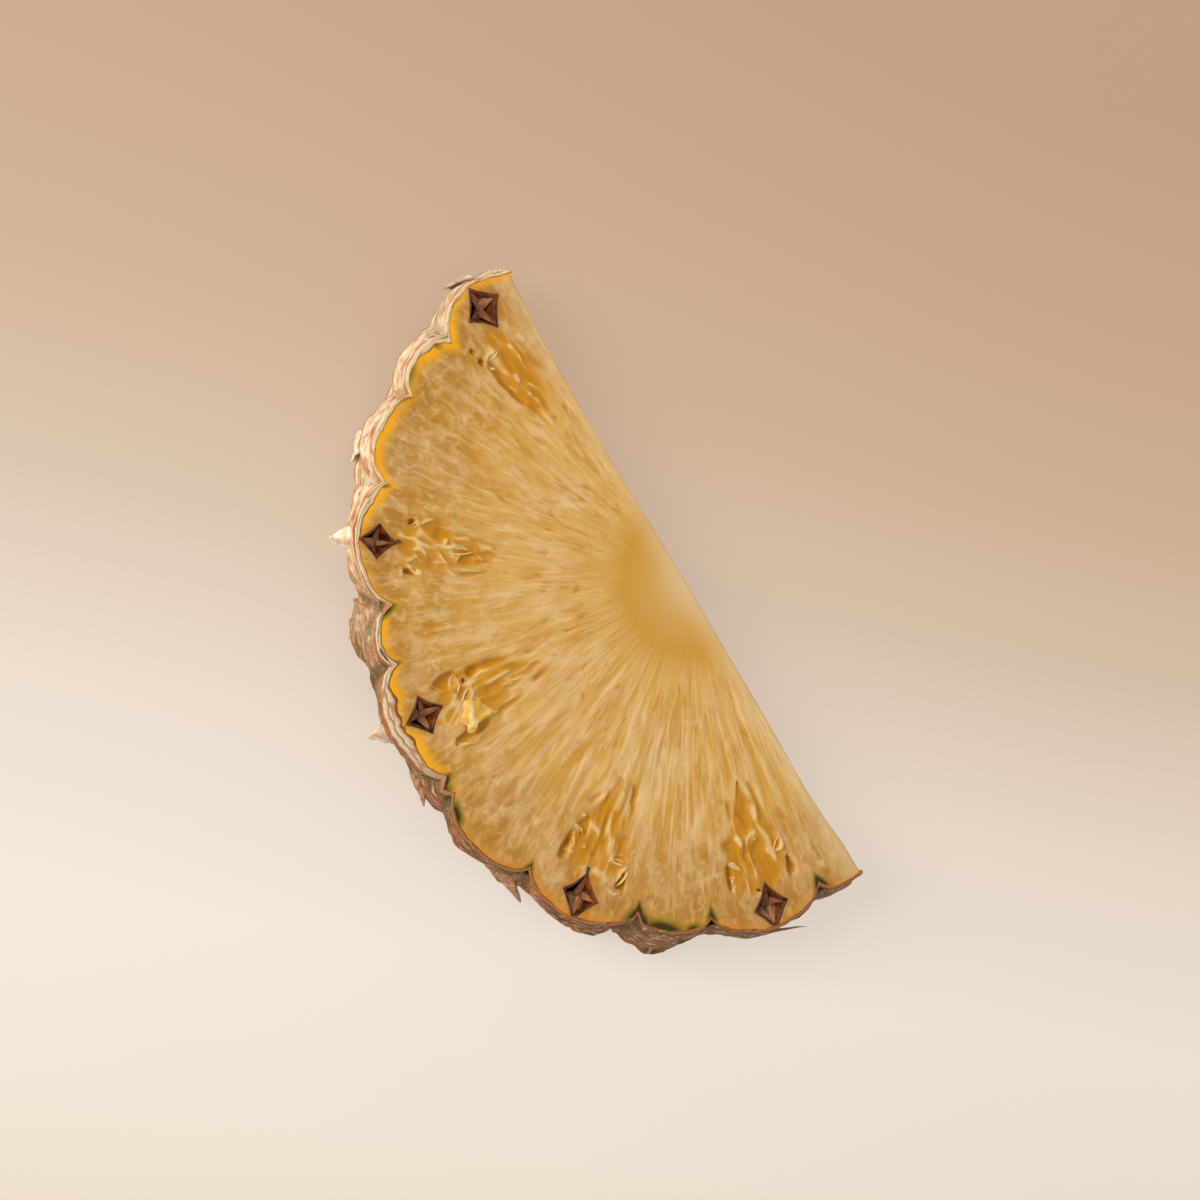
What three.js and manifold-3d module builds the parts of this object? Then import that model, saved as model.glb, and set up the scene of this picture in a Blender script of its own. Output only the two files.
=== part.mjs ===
// A pineapple wedge: half of a round slice cut across the fruit, with its rind left on.
// Millimetres, +Z up. The wedge lies on one of its two flat cut faces. Its straight cut, which
// runs through the fruit's axis, faces -Y, and the rind curves round the +Y side. The origin is
// on the surface that it lies on, under the middle of its outline.
import * as THREE from 'three';
import { mergeVertices } from 'three/addons/utils/BufferGeometryUtils.js';
import Module from 'manifold-3d';

const wasm = await Module();
wasm.setup();

// Driving dimensions. Angles are in degrees round the fruit's axis, from +X towards +Y, and
// depths are measured down from the upper cut face. The fruit is a little oval and lopsided, it
// narrows towards the lower cut face, and it was sliced askew, so its skin drifts to one side
// with depth: ASKEW is that drift for each millimetre down.
const THICKNESS = 11.5;
const SKIN_RADIUS = 61.6;
const OVAL = 1.5;
const OVAL_ANGLE = 25;
const LOPSIDED = 0.6;
const LOPSIDED_ANGLE = 20;
const BACK_TAPER = 1.2;
const ASKEW = 0.2;
const ASKEW_ANGLE = 45;

// Where the fruit's axis stands, so that the origin is under the middle of the outline.
const AXIS_X = -0.5;
const AXIS_Y = -32.2;

// The eyes are the fruitlets' tops, with valleys between them. peak is an eye's height above
// the skin round it, and an eye slopes away evenly out to its reach. Dry scales bridge the
// valleys below the upper cut face, so they are deepest at that face.
const EYE_REACH = 11;
const VALLEY_DEPTH = 2.5;
const VALLEY_WIDTH = 1.5;
const VALLEY_BRIDGED = 0.45;
const BRIDGE_DEPTH = 2.5;
const EYES = [
  { angle: -33, depth: 3, peak: 3 },
  { angle: -14, depth: 9.5, peak: 3 },
  { angle: 7.5, depth: 3, peak: 2.6 },
  { angle: 21, depth: 7, peak: 2.4 },
  { angle: 33, depth: 6, peak: 2.8 },
  { angle: 50, depth: 3, peak: 3.6 },
  { angle: 65, depth: 10, peak: 1.8 },
  { angle: 80, depth: 3, peak: 2.5 },
  { angle: 94, depth: 11.5, peak: 1.8 },
  { angle: 103, depth: 6, peak: 2.2 },
  { angle: 124, depth: 3.5, peak: 2.8 },
  { angle: 143, depth: 10.5, peak: 3.6 },
  { angle: 162, depth: 3.5, peak: 2.4 },
  { angle: 179, depth: 9.5, peak: 2.2 },
  { angle: 204, depth: 3, peak: 3 },
  { angle: 5, depth: 19, peak: 3 },
  { angle: 38, depth: 18, peak: 3 },
  { angle: 80, depth: 17, peak: 3 },
  { angle: 112, depth: 12.5, peak: 3.4 },
  { angle: 131, depth: 12.5, peak: 4.2 },
  { angle: 163, depth: 18, peak: 3 },
  { angle: 196, depth: 18, peak: 3 },
];

// A blossom pit is the hollow under an eye, which the slicing knife opens. Its outline has four
// points, one of them towards the rind, and PIT_BOW is how far its sides bow inwards.
const PIT_DEPTH = 4.5;
const PIT_BOW = 0.3;
const PIT_BOTTOM_SCALE = 0.45;
const PITS = [
  { angle: 7.5, radius: 60.1, halfWidth: 3.5, halfHeight: 4.0 },
  { angle: 50, radius: 60.4, halfWidth: 3.1, halfHeight: 3.5 },
  { angle: 80, radius: 56.4, halfWidth: 3.5, halfHeight: 3.9 },
  { angle: 124, radius: 57.4, halfWidth: 3.6, halfHeight: 4.2 },
  { angle: 162, radius: 58.2, halfWidth: 3.4, halfHeight: 4.1 },
];
const BACK_PITS = [
  { angle: 38, radius: 57.0, halfWidth: 3.0, halfHeight: 3.4 },
  { angle: 127, radius: 56.0, halfWidth: 3.1, halfHeight: 3.6 },
];

// Seed chambers lie inward of the pits. Each is a long hollow, narrow round the fruit.
const CHAMBER_DEPTH = 2.6;
const CHAMBERS = [
  { angle: 13.5, radius: 53, halfLength: 4.4, halfWidth: 1.5 },
  { angle: 12.5, radius: 45.5, halfLength: 3.6, halfWidth: 1.0 },
  { angle: 46, radius: 53, halfLength: 2.6, halfWidth: 1.1 },
  { angle: 54.5, radius: 53.5, halfLength: 2.6, halfWidth: 0.9 },
  { angle: 75.5, radius: 50.5, halfLength: 3.6, halfWidth: 1.3 },
  { angle: 87, radius: 48.5, halfLength: 3.9, halfWidth: 1.6 },
  { angle: 118, radius: 51.5, halfLength: 2.5, halfWidth: 0.9 },
  { angle: 131, radius: 52.5, halfLength: 3.0, halfWidth: 1.2 },
  { angle: 154.5, radius: 51, halfLength: 3.4, halfWidth: 1.1 },
  { angle: 167.5, radius: 53, halfLength: 2.6, halfWidth: 1.0 },
];

// Dry bracts stand off the eyes. lift is the angle up off the skin, and lean turns the tip
// from along the rim, at 0, towards the lower cut face, at 90.
const BRACT_ROOT = 1.4;
const BRACT_CURL = 0.06;
const BRACTS = [
  { angle: 8, depth: 3.2, length: 2.8, width: 3.4, thickness: 1.0, lift: 24, lean: 10 },
  { angle: 34.5, depth: 7.6, length: 3.6, width: 3.8, thickness: 1.4, lift: 24, lean: 20 },
  { angle: 50.6, depth: 3.0, length: 2.8, width: 4.2, thickness: 2.2, lift: 84, lean: 30 },
  { angle: 62.5, depth: 8.6, length: 4.8, width: 3.0, thickness: 1.2, lift: 12, lean: 8 },
  { angle: 79.2, depth: 3.0, length: 2.7, width: 3.4, thickness: 1.6, lift: 80, lean: 20 },
  { angle: 91, depth: 8.0, length: 6.0, width: 2.8, thickness: 1.0, lift: 10, lean: 4 },
  { angle: 114, depth: 7.0, length: 6.6, width: 4.8, thickness: 1.4, lift: 24, lean: 8 },
  { angle: 142.5, depth: 7.8, length: 1.8, width: 6.0, thickness: 4.0, lift: 76, lean: 10 },
  { angle: 160.5, depth: 2.2, length: 9.6, width: 1.8, thickness: 1.0, lift: 6, lean: 0 },
];

// The straight cut, as points along it: how far it wanders off the fruit's axis.
const CUT_LINE = [
  [-70, -0.4], [-62, -0.4], [-56, -0.3], [-50, 0.3], [-44, 0.6], [0, 0.6], [40, 0.9],
  [54, 0.9], [62, 0.4], [70, 0.2],
];

// How finely the skin is divided, and how far the cutting blocks reach past the slice.
const ROUND_STEPS = 360;
const DEPTH_STEPS = 12;
const CUTTER_REACH = 80;
const CUTTER_OVERLAP = 1;

const radians = THREE.MathUtils.degToRad;

// Angles run on from here without a jump. It is in the half that the straight cut takes away.
const SEAM_ANGLE = radians(-100);

const eyes = EYES.map(({ angle, depth, peak }) => ({
  along: SKIN_RADIUS * radians(angle),
  down: depth,
  peak,
}));

// How far a spot on the unrolled skin stands out: high on an eye, low in the valley where the
// nearest eye gives way to the next.
function eyeRelief(along, down) {
  const byDistance = eyes
    .map((eye) => ({ eye, distance: Math.hypot(along - eye.along, down - eye.down) }))
    .sort((a, b) => a.distance - b.distance);
  const [first, second] = byDistance;
  const spacing = Math.hypot(
    first.eye.along - second.eye.along,
    first.eye.down - second.eye.down,
  );
  const toValley = (second.distance ** 2 - first.distance ** 2) / (2 * spacing);
  const slope = first.eye.peak * Math.max(0, 1 - first.distance / EYE_REACH);
  const open = VALLEY_BRIDGED + (1 - VALLEY_BRIDGED) * Math.exp(-down / BRIDGE_DEPTH);
  return slope - VALLEY_DEPTH * open * Math.exp(-toValley / VALLEY_WIDTH);
}

function skinRadius(angle, depth) {
  const oval = OVAL * Math.cos(2 * (angle - radians(OVAL_ANGLE)));
  const lopsided = LOPSIDED * Math.cos(angle - radians(LOPSIDED_ANGLE));
  const taper = BACK_TAPER * (depth / THICKNESS) ** 2;
  const drift = ASKEW * depth * Math.cos(angle - radians(ASKEW_ANGLE));
  const trunk = SKIN_RADIUS + oval + lopsided - taper - drift;
  return trunk + eyeRelief(SKIN_RADIUS * angle, depth);
}

function toSolid(geometry) {
  const bare = geometry.clone();
  bare.deleteAttribute('normal');
  bare.deleteAttribute('uv');
  const merged = mergeVertices(bare.index ? bare.toNonIndexed() : bare, 1e-4);
  return new wasm.Manifold(new wasm.Mesh({
    numProp: 3,
    vertProperties: new Float32Array(merged.attributes.position.array),
    triVerts: new Uint32Array(merged.index.array),
  }));
}

function toGeometry(solid) {
  const mesh = solid.getMesh();
  const geometry = new THREE.BufferGeometry();
  geometry.setAttribute('position', new THREE.BufferAttribute(mesh.vertProperties, 3));
  geometry.setIndex(new THREE.BufferAttribute(mesh.triVerts, 1));
  return geometry;
}

// Directions at an angle round the fruit: outward, along the rim, and down the axis.
function directionsAt(angle) {
  return {
    outward: new THREE.Vector3(Math.cos(angle), Math.sin(angle), 0),
    alongRim: new THREE.Vector3(-Math.sin(angle), Math.cos(angle), 0),
    down: new THREE.Vector3(0, 0, -1),
  };
}

// The whole round slice, whose skin follows the eyes.
function roundSlice() {
  const geometry = new THREE.CylinderGeometry(
    SKIN_RADIUS, SKIN_RADIUS, THICKNESS, ROUND_STEPS, DEPTH_STEPS,
  );
  geometry.rotateX(Math.PI / 2);
  geometry.translate(0, 0, THICKNESS / 2);
  const spots = geometry.attributes.position;
  for (let i = 0; i < spots.count; i += 1) {
    if (Math.hypot(spots.getX(i), spots.getY(i)) > 1) {
      const turn = Math.atan2(spots.getY(i), spots.getX(i));
      const angle = turn < SEAM_ANGLE ? turn + 2 * Math.PI : turn;
      const radius = skinRadius(angle, THICKNESS - spots.getZ(i));
      spots.setX(i, radius * Math.cos(angle));
      spots.setY(i, radius * Math.sin(angle));
    }
  }
  return toSolid(geometry);
}

// The half of the fruit that the straight cut takes away, a block with the cut's own line.
function cutAwayHalf() {
  const outline = new THREE.Shape([
    new THREE.Vector2(-CUTTER_REACH, -CUTTER_REACH),
    new THREE.Vector2(CUTTER_REACH, -CUTTER_REACH),
  ]);
  const line = CUT_LINE.map(([x, y]) => new THREE.Vector2(x, y)).reverse();
  outline.lineTo(CUTTER_REACH, line[0].y);
  outline.lineTo(line[0].x, line[0].y);
  outline.splineThru(line.slice(1));
  outline.lineTo(-CUTTER_REACH, line[line.length - 1].y);
  const block = new THREE.ExtrudeGeometry(outline, {
    depth: THICKNESS + 2 * CUTTER_OVERLAP,
    bevelEnabled: false,
    curveSegments: 5,
  });
  block.translate(0, 0, -CUTTER_OVERLAP);
  return toSolid(block);
}

// A four-pointed hollow with sides that bow inwards, narrower at its bottom.
function pit({ angle, radius, halfWidth, halfHeight }, fromBack) {
  const bowX = PIT_BOW * halfWidth;
  const bowY = PIT_BOW * halfHeight;
  const outline = new THREE.Shape();
  outline.moveTo(halfWidth, 0);
  outline.quadraticCurveTo(bowX, bowY, 0, halfHeight);
  outline.quadraticCurveTo(-bowX, bowY, -halfWidth, 0);
  outline.quadraticCurveTo(-bowX, -bowY, 0, -halfHeight);
  outline.quadraticCurveTo(bowX, -bowY, halfWidth, 0);
  const depth = PIT_DEPTH + CUTTER_OVERLAP;
  const hollow = new THREE.ExtrudeGeometry(outline, {
    depth, steps: 3, bevelEnabled: false, curveSegments: 4,
  });
  const spots = hollow.attributes.position;
  for (let i = 0; i < spots.count; i += 1) {
    const sunk = 1 - spots.getZ(i) / depth;
    const scale = 1 - (1 - PIT_BOTTOM_SCALE) * sunk ** 2;
    spots.setX(i, spots.getX(i) * scale);
    spots.setY(i, spots.getY(i) * scale);
  }
  hollow.rotateZ(-Math.PI / 2);
  hollow.translate(radius, 0, -PIT_DEPTH);
  if (fromBack) hollow.rotateX(Math.PI);
  hollow.rotateZ(radians(angle));
  hollow.translate(0, 0, fromBack ? 0 : THICKNESS);
  return toSolid(hollow);
}

// A long shallow hollow that points to the fruit's axis.
function chamber({ angle, radius, halfLength, halfWidth }) {
  const hollow = new THREE.SphereGeometry(1, 12, 8);
  hollow.scale(halfLength, halfWidth, CHAMBER_DEPTH);
  hollow.translate(radius, 0, THICKNESS);
  hollow.rotateZ(radians(angle));
  return toSolid(hollow);
}

// A flattened thorn that curls as it rises off the skin.
function bract({ angle, depth, length, width, thickness, lift, lean }) {
  const turn = radians(angle);
  const { outward, alongRim, down } = directionsAt(turn);
  const alongSkin = alongRim.clone().multiplyScalar(Math.cos(radians(lean)));
  alongSkin.addScaledVector(down, Math.sin(radians(lean)));
  const tipward = alongSkin.clone().multiplyScalar(Math.cos(radians(lift)));
  tipward.addScaledVector(outward, Math.sin(radians(lift)));
  const acrossSkin = new THREE.Vector3().crossVectors(tipward, outward).normalize();
  const upward = new THREE.Vector3().crossVectors(acrossSkin, tipward).normalize();

  const thorn = new THREE.ConeGeometry(0.5, 1, 8, 3);
  thorn.translate(0, 0.5, 0);
  const spots = thorn.attributes.position;
  for (let i = 0; i < spots.count; i += 1) {
    const along = spots.getY(i);
    const curl = BRACT_CURL * length * along ** 2;
    spots.setXYZ(
      i,
      spots.getX(i) * thickness + curl,
      along * (length + BRACT_ROOT) - BRACT_ROOT,
      spots.getZ(i) * width,
    );
  }
  const foot = outward.clone().multiplyScalar(skinRadius(turn, depth));
  foot.z = THICKNESS - depth;
  const place = new THREE.Matrix4().makeBasis(upward, tipward, acrossSkin.negate());
  place.setPosition(foot);
  thorn.applyMatrix4(place);
  return toSolid(thorn);
}

function wedge() {
  let solid = roundSlice().subtract(cutAwayHalf());
  for (const size of PITS) solid = solid.subtract(pit(size, false));
  for (const size of BACK_PITS) solid = solid.subtract(pit(size, true));
  for (const size of CHAMBERS) solid = solid.subtract(chamber(size));
  for (const size of BRACTS) solid = solid.add(bract(size));
  const geometry = toGeometry(solid);
  geometry.translate(AXIS_X, AXIS_Y, 0);
  const flesh = new THREE.MeshStandardMaterial({
    color: 0xdcb070,
    roughness: 0.42,
    metalness: 0,
  });
  const mesh = new THREE.Mesh(geometry, flesh);
  mesh.name = 'wedge';
  return mesh;
}

const group = new THREE.Group();
group.add(wedge());

export default group;
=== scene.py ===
# %% [markdown]
# # A pineapple wedge
# Half of a round slice of ripe pineapple lies on one of its flat cut faces, with the rind left
# on. The lesson dresses it step by step: first the flesh with its fibres, pits and seed
# chambers, then the rind with its papery scales, and last the small loose things.
#
# The solid from the CAD step is loaded first. It is the fixed frame: nothing here moves it, and
# every piece below is placed by its box.

# %% Load the frame
import math

import bpy
import numpy as np
from mathutils import Matrix, Vector


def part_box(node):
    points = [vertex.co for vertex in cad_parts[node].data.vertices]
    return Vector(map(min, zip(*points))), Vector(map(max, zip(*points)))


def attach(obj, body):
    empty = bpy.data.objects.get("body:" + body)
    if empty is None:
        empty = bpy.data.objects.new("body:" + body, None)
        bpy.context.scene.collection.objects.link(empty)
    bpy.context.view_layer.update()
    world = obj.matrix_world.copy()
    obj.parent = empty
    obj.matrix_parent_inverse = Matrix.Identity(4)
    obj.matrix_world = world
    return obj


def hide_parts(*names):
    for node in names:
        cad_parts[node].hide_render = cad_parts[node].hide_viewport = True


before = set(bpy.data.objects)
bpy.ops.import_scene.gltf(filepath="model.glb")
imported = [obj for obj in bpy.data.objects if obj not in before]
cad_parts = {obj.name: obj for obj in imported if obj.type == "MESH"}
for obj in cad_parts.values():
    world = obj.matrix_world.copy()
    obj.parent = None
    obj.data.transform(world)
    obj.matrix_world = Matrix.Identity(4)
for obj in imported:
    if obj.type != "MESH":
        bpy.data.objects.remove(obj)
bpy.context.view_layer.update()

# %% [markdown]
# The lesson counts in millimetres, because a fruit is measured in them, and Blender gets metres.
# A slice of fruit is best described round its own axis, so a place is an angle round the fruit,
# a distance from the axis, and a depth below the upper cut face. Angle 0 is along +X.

MM = 0.001
low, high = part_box("wedge")
THICKNESS = high.z / MM
AXIS_X = -0.5
AXIS_Y = low.y / MM + 0.41

SKIN_RADIUS = 61.6
MID_RADIUS = 45.0
print(f"slice {THICKNESS:.1f} mm thick, axis at x {AXIS_X:.1f} y {AXIS_Y:.1f} mm")

# %% [markdown]
# The skin isn't a true circle. The fruit is a little oval and lopsided, it narrows away from the
# upper face, and it was sliced askew. Along parts of the rim it narrows some millimetres more,
# mostly towards the lower face. On top of that each eye, the dry tip of one small fruit of the
# many that grew together, stands proud, with a valley where two eyes meet. A formula of angle
# and depth gives all of this at once, so that the flesh, the rind and the scales are made from
# the same skin and always meet.

# %% The skin's formula
OVAL = 1.5
OVAL_ANGLE = 25
LOPSIDED = 0.6
LOPSIDED_ANGLE = 20
BACK_TAPER = 1.2
ASKEW = 0.2
ASKEW_ANGLE = 45
NARROWED = np.array([  # angle, how much narrower at the upper face and at the lower face
    (-40, 1.2, 1.2), (2, 1.2, 1.2), (8, 0.0, 0.6), (12, 0.0, 1.4), (18, 0.0, 2.8), (24, 0.0, 3.8),
    (30, 0.3, 3.0), (36, 0.0, 2.0), (40, 0.4, 1.4), (44, 1.1, 1.8), (50, 1.6, 3.4), (57, 2.0, 3.3),
    (63, 2.0, 3.0), (70, 0.6, 2.8), (76, 0.4, 3.4), (84, 1.1, 3.2), (91, 0.4, 2.6), (97, 0.0, 2.6),
    (104, 0.0, 3.0), (111, 0.0, 3.0), (117, 0.0, 2.2), (124, 0.3, 1.8), (131, 0.0, 0.6),
    (140, 0.0, 0.0), (220, 0.0, 0.0),
])
EYE_REACH = 11
VALLEY_DEPTH = 2.5
VALLEY_WIDTH = 1.5
VALLEY_BRIDGED = 0.45
BRIDGE_DEPTH = 2.5
EYES = np.array([  # angle in degrees, depth, height of the eye
    (-33, 3, 3), (-14, 9.5, 3), (7.5, 3, 2.6), (21, 7, 2.4), (33, 6, 2.8), (50, 3, 3.6),
    (65, 10, 1.8), (80, 3, 2.5), (94, 11.5, 1.8), (103, 6, 2.2), (124, 3.5, 2.8),
    (143, 10.5, 3.6), (162, 3.5, 2.4), (179, 9.5, 2.2), (204, 3, 3), (5, 19, 3), (38, 18, 3),
    (80, 17, 3), (112, 12.5, 3.4), (131, 12.5, 4.2), (163, 18, 3), (196, 18, 3),
])


def arc_length(angle, radius=SKIN_RADIUS):
    """Millimetres along the rim for an angle in degrees."""
    return radius * np.radians(angle)


def nearest_eyes(angle, depth):
    """Distance to the nearest eye, its number, and the distance on to the nearest valley."""
    across = arc_length(angle)[:, None] - arc_length(EYES[:, 0])
    gaps = np.hypot(across, depth[:, None] - EYES[:, 1])
    order = np.argsort(gaps, axis=1)
    first, second = order[:, 0], order[:, 1]
    rows = np.arange(len(gaps))
    near, far = gaps[rows, first], gaps[rows, second]
    spacing = np.hypot(
        arc_length(EYES[first, 0]) - arc_length(EYES[second, 0]),
        EYES[first, 1] - EYES[second, 1],
    )
    return near, first, (far**2 - near**2) / (2 * spacing)


def skin_radius(angle, depth):
    """How far the skin is from the fruit's axis."""
    near, eye, to_valley = nearest_eyes(angle, depth)
    slope = EYES[eye, 2] * np.clip(1 - near / EYE_REACH, 0, None)
    opened = VALLEY_BRIDGED + (1 - VALLEY_BRIDGED) * np.exp(-depth / BRIDGE_DEPTH)
    valley = VALLEY_DEPTH * opened * np.exp(-to_valley / VALLEY_WIDTH)
    oval = OVAL * np.cos(2 * np.radians(angle - OVAL_ANGLE))
    lopsided = LOPSIDED * np.cos(np.radians(angle - LOPSIDED_ANGLE))
    taper = BACK_TAPER * (depth / THICKNESS) ** 2
    drift = ASKEW * depth * np.cos(np.radians(angle - ASKEW_ANGLE))
    at_top, at_bottom = (np.interp(angle, NARROWED[:, 0], share) for share in NARROWED.T[1:])
    narrower = at_top + (at_bottom - at_top) * depth / THICKNESS
    return SKIN_RADIUS + oval + lopsided - taper - drift - narrower + slope - valley


around = np.arange(0, 181, 30.0)
print("skin radius at the upper face:", skin_radius(around, np.zeros(7)).round(1))

# %% [markdown]
# A few helpers read and write a mesh's points in millimetres, say where a point is in the
# fruit, and store numbers on every point for a material to read. The noise is a value noise:
# a fixed random number at each corner of a grid, blended smoothly between, so every run gives
# the same fruit.

# %% Helpers for points
SEAM_ANGLE = -100


def take(items, field, width, kind=float):
    """One field of all the points, edges or faces of a mesh, a row for each."""
    flat = np.empty(len(items) * width, kind)
    items.foreach_get(field, flat)
    return flat.reshape(-1, width)


def get_points(thing):
    return take(thing.data.vertices, "co", 3) / MM


def set_points(thing, points):
    thing.data.vertices.foreach_set("co", (points * MM).ravel())
    thing.data.update()


def in_fruit(points):
    """Angle in degrees, distance from the axis and depth of points given in x, y and z."""
    x, y = points[:, 0] - AXIS_X, points[:, 1] - AXIS_Y
    angle = np.degrees(np.arctan2(y, x))
    angle = np.where(angle < SEAM_ANGLE, angle + 360, angle)
    return angle, np.hypot(x, y), THICKNESS - points[:, 2]


def in_space(angle, radius, depth):
    """Points in x, y and z for an angle, a distance from the axis and a depth."""
    turn = np.radians(angle)
    x, y = AXIS_X + radius * np.cos(turn), AXIS_Y + radius * np.sin(turn)
    return np.stack(np.broadcast_arrays(x, y, THICKNESS - depth), axis=-1)


def square_to_spoke(angle, ring, across, height):
    """Points in x, y and z for a shape that keeps its form and stands square to one spoke."""
    side = np.radians(angle)
    x = AXIS_X + ring * np.cos(side) - across * np.sin(side)
    y = AXIS_Y + ring * np.sin(side) + across * np.cos(side)
    return np.column_stack([x, y, height])


def bent_round(angle, radius, outward, aside, depth):
    """Points in x, y and z for a shape that bends round the fruit with its place."""
    return in_space(angle + np.degrees(aside / radius), radius + outward, depth)


def turned(along, across, turn):
    """Turns a flat shape by some degrees: how far outward and how far aside it then reaches."""
    swing = np.radians(turn)
    outward = along * math.cos(swing) - across * math.sin(swing)
    aside = along * math.sin(swing) + across * math.cos(swing)
    return outward, aside


def paint(thing, **layers):
    """Stores a number for each point, under a name that a material can read."""
    for name, values in layers.items():
        layer = thing.data.attributes.new(name, "FLOAT", "POINT")
        layer.data.foreach_set("value", np.asarray(values, np.float32))


def smooth_step(value, start, end):
    part = np.clip((value - start) / (end - start), 0, 1)
    return part * part * (3 - 2 * part)


def corner_value(cells, seed):
    """A fixed random number from 0 to 1 for each whole-numbered corner."""
    c = cells.astype(np.int64).astype(np.uint64)
    mixed = c[..., 0] * np.uint64(73856093) ^ c[..., 1] * np.uint64(19349663)
    mixed ^= c[..., 2] * np.uint64(83492791) ^ np.uint64(seed * 7919 + 17)
    for shift, factor in ((31, 0x9E3779B97F4A7C15), (29, 0xBF58476D1CE4E5B9)):
        mixed ^= mixed >> np.uint64(shift)
        mixed *= np.uint64(factor)
    return (mixed >> np.uint64(40)) / 2.0**24


def soft_noise(x, y, z, seed):
    """Smooth noise from -1 to 1 whose bumps are one unit across."""
    spots = np.stack(np.broadcast_arrays(x, y, z), axis=-1)
    cells = np.floor(spots)
    part = spots - cells
    ease = part * part * (3 - 2 * part)
    total = 0
    for corner in np.ndindex(2, 2, 2):
        weight = np.where(corner, ease, 1 - ease).prod(axis=-1)
        total = total + weight * corner_value(cells + corner, seed)
    return 2 * total - 1

# %% [markdown]
# The next helpers work Blender's own tools. An operator acts on all that is selected, so
# everything is deselected before a new piece is added, and a piece is picked before it is
# changed.

# %% Helpers for pieces
def deselect():
    bpy.ops.object.select_all(action="DESELECT")


def pick(thing):
    """Selects one object alone and makes it the active one."""
    deselect()
    thing.select_set(True)
    bpy.context.view_layer.objects.active = thing


def edit_all():
    """Goes into edit mode with the whole mesh selected."""
    bpy.ops.object.mode_set(mode="EDIT")
    bpy.ops.mesh.select_all(action="SELECT")


def object_mode():
    bpy.ops.object.mode_set(mode="OBJECT")


def face_outwards():
    """Turns the faces of the active piece so that they all look outwards."""
    edit_all()
    bpy.ops.mesh.normals_make_consistent(inside=False)
    object_mode()


def select_where(thing, domain, chosen):
    """Selects faces or edges by a list of true and false, and stays in edit mode."""
    pick(thing)
    edit_all()
    bpy.ops.mesh.select_mode(type="FACE" if domain == "polygons" else "EDGE")
    bpy.ops.mesh.select_all(action="DESELECT")
    object_mode()
    getattr(thing.data, domain).foreach_set("select", np.asarray(chosen, bool))
    bpy.ops.object.mode_set(mode="EDIT")


def add_grid(columns, rows):
    """A flat grid, and each point's place along and across it, from -1 to 1."""
    deselect()
    bpy.ops.mesh.primitive_grid_add(x_subdivisions=columns, y_subdivisions=rows, size=2)
    along, across, _ = (get_points(bpy.context.object) * MM).T
    return bpy.context.object, along, across


def apply_modifier(thing, kind, **settings):
    pick(thing)
    modifier = thing.modifiers.new(kind.lower(), kind)
    for name, value in settings.items():
        setattr(modifier, name, value)
    bpy.ops.object.modifier_apply(modifier=modifier.name)


def thicken(thing, thickness):
    apply_modifier(thing, "SOLIDIFY", thickness=thickness * MM, offset=0)


def join_pieces(parts, name):
    deselect()
    for part in parts:
        part.select_set(True)
    bpy.context.view_layer.objects.active = parts[0]
    bpy.ops.object.join()
    parts[0].name = name
    return parts[0]


def finish_piece(thing, smooth_angle=180):
    """Shades a piece smoothly, but not over edges sharper than an angle, and counts it."""
    pick(thing)
    if smooth_angle < 180:
        bpy.ops.object.shade_smooth_by_angle(angle=math.radians(smooth_angle))
    else:
        bpy.ops.object.shade_smooth()
    thing.data.calc_loop_triangles()
    print(f"{thing.name}: {len(thing.data.loop_triangles)} triangles")

# %% [markdown]
# ## The flesh
# The flesh starts as a plain cylinder, the way a slice starts as a round of fruit. Its wall is
# subdivided into rings, the rings are moved onto the skin's formula, a little inside it so that
# the rind can close round them, and bisect makes the straight cut through the core.
#
# A voxel remesh is used after the cutting below, and not subdivision, because it gives the pit
# and chamber walls the same even skin of small faces as the rest, and rounds each cut edge by
# a fraction of a millimetre, as juice and softness do on real fruit.

# %% A round of fruit
ROUND_STEPS = 720
RING_CUTS = 22
FLESH_INSET = 0.75
LIP_OVERLAP = 0.3
LIP_RAGGED = 0.22
NEAR_FACE = (1.6, 0.6)
LIP_WIDTHS = np.array([  # angle, how wide the rind's cut edge shows there
    (-5, 0.6), (4, 0.6), (12, 1.1), (17, 1.9), (21, 1.2), (25, 0.8), (29, 1.6), (34, 1.2),
    (38, 0.8), (41, 1.1), (45, 2.1), (48, 1.2), (52, 1.0), (57, 1.0), (61, 1.4), (65, 1.2),
    (69, 1.7), (72, 1.6), (75, 2.8), (79, 3.2), (84, 2.5), (88, 1.6), (92, 0.9), (97, 0.8),
    (125, 0.7), (145, 0.6), (185, 0.55),
])


def lip_width(angle):
    """The rind's cut edge is ragged, wide where it dried to paper and thin where it is green."""
    along = arc_length(angle)
    ragged = soft_noise(along / 1.7, 0, 0, 44) + 0.5 * soft_noise(along / 0.7, 0, 0, 45)
    return np.interp(angle, *LIP_WIDTHS.T) * (1 + LIP_RAGGED * ragged)


deselect()
bpy.ops.mesh.primitive_cylinder_add(
    vertices=ROUND_STEPS,
    radius=SKIN_RADIUS * MM,
    depth=THICKNESS * MM,
    location=(AXIS_X * MM, AXIS_Y * MM, THICKNESS / 2 * MM),
)
flesh = bpy.context.object
flesh.name = "flesh"
bpy.ops.object.transform_apply(location=True, rotation=True, scale=True)

heights = get_points(flesh)[:, 2][take(flesh.data.edges, "vertices", 2, int)]
select_where(flesh, "edges", np.abs(heights[:, 0] - heights[:, 1]) > 1)
bpy.ops.mesh.subdivide(number_cuts=RING_CUTS)
object_mode()

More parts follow.
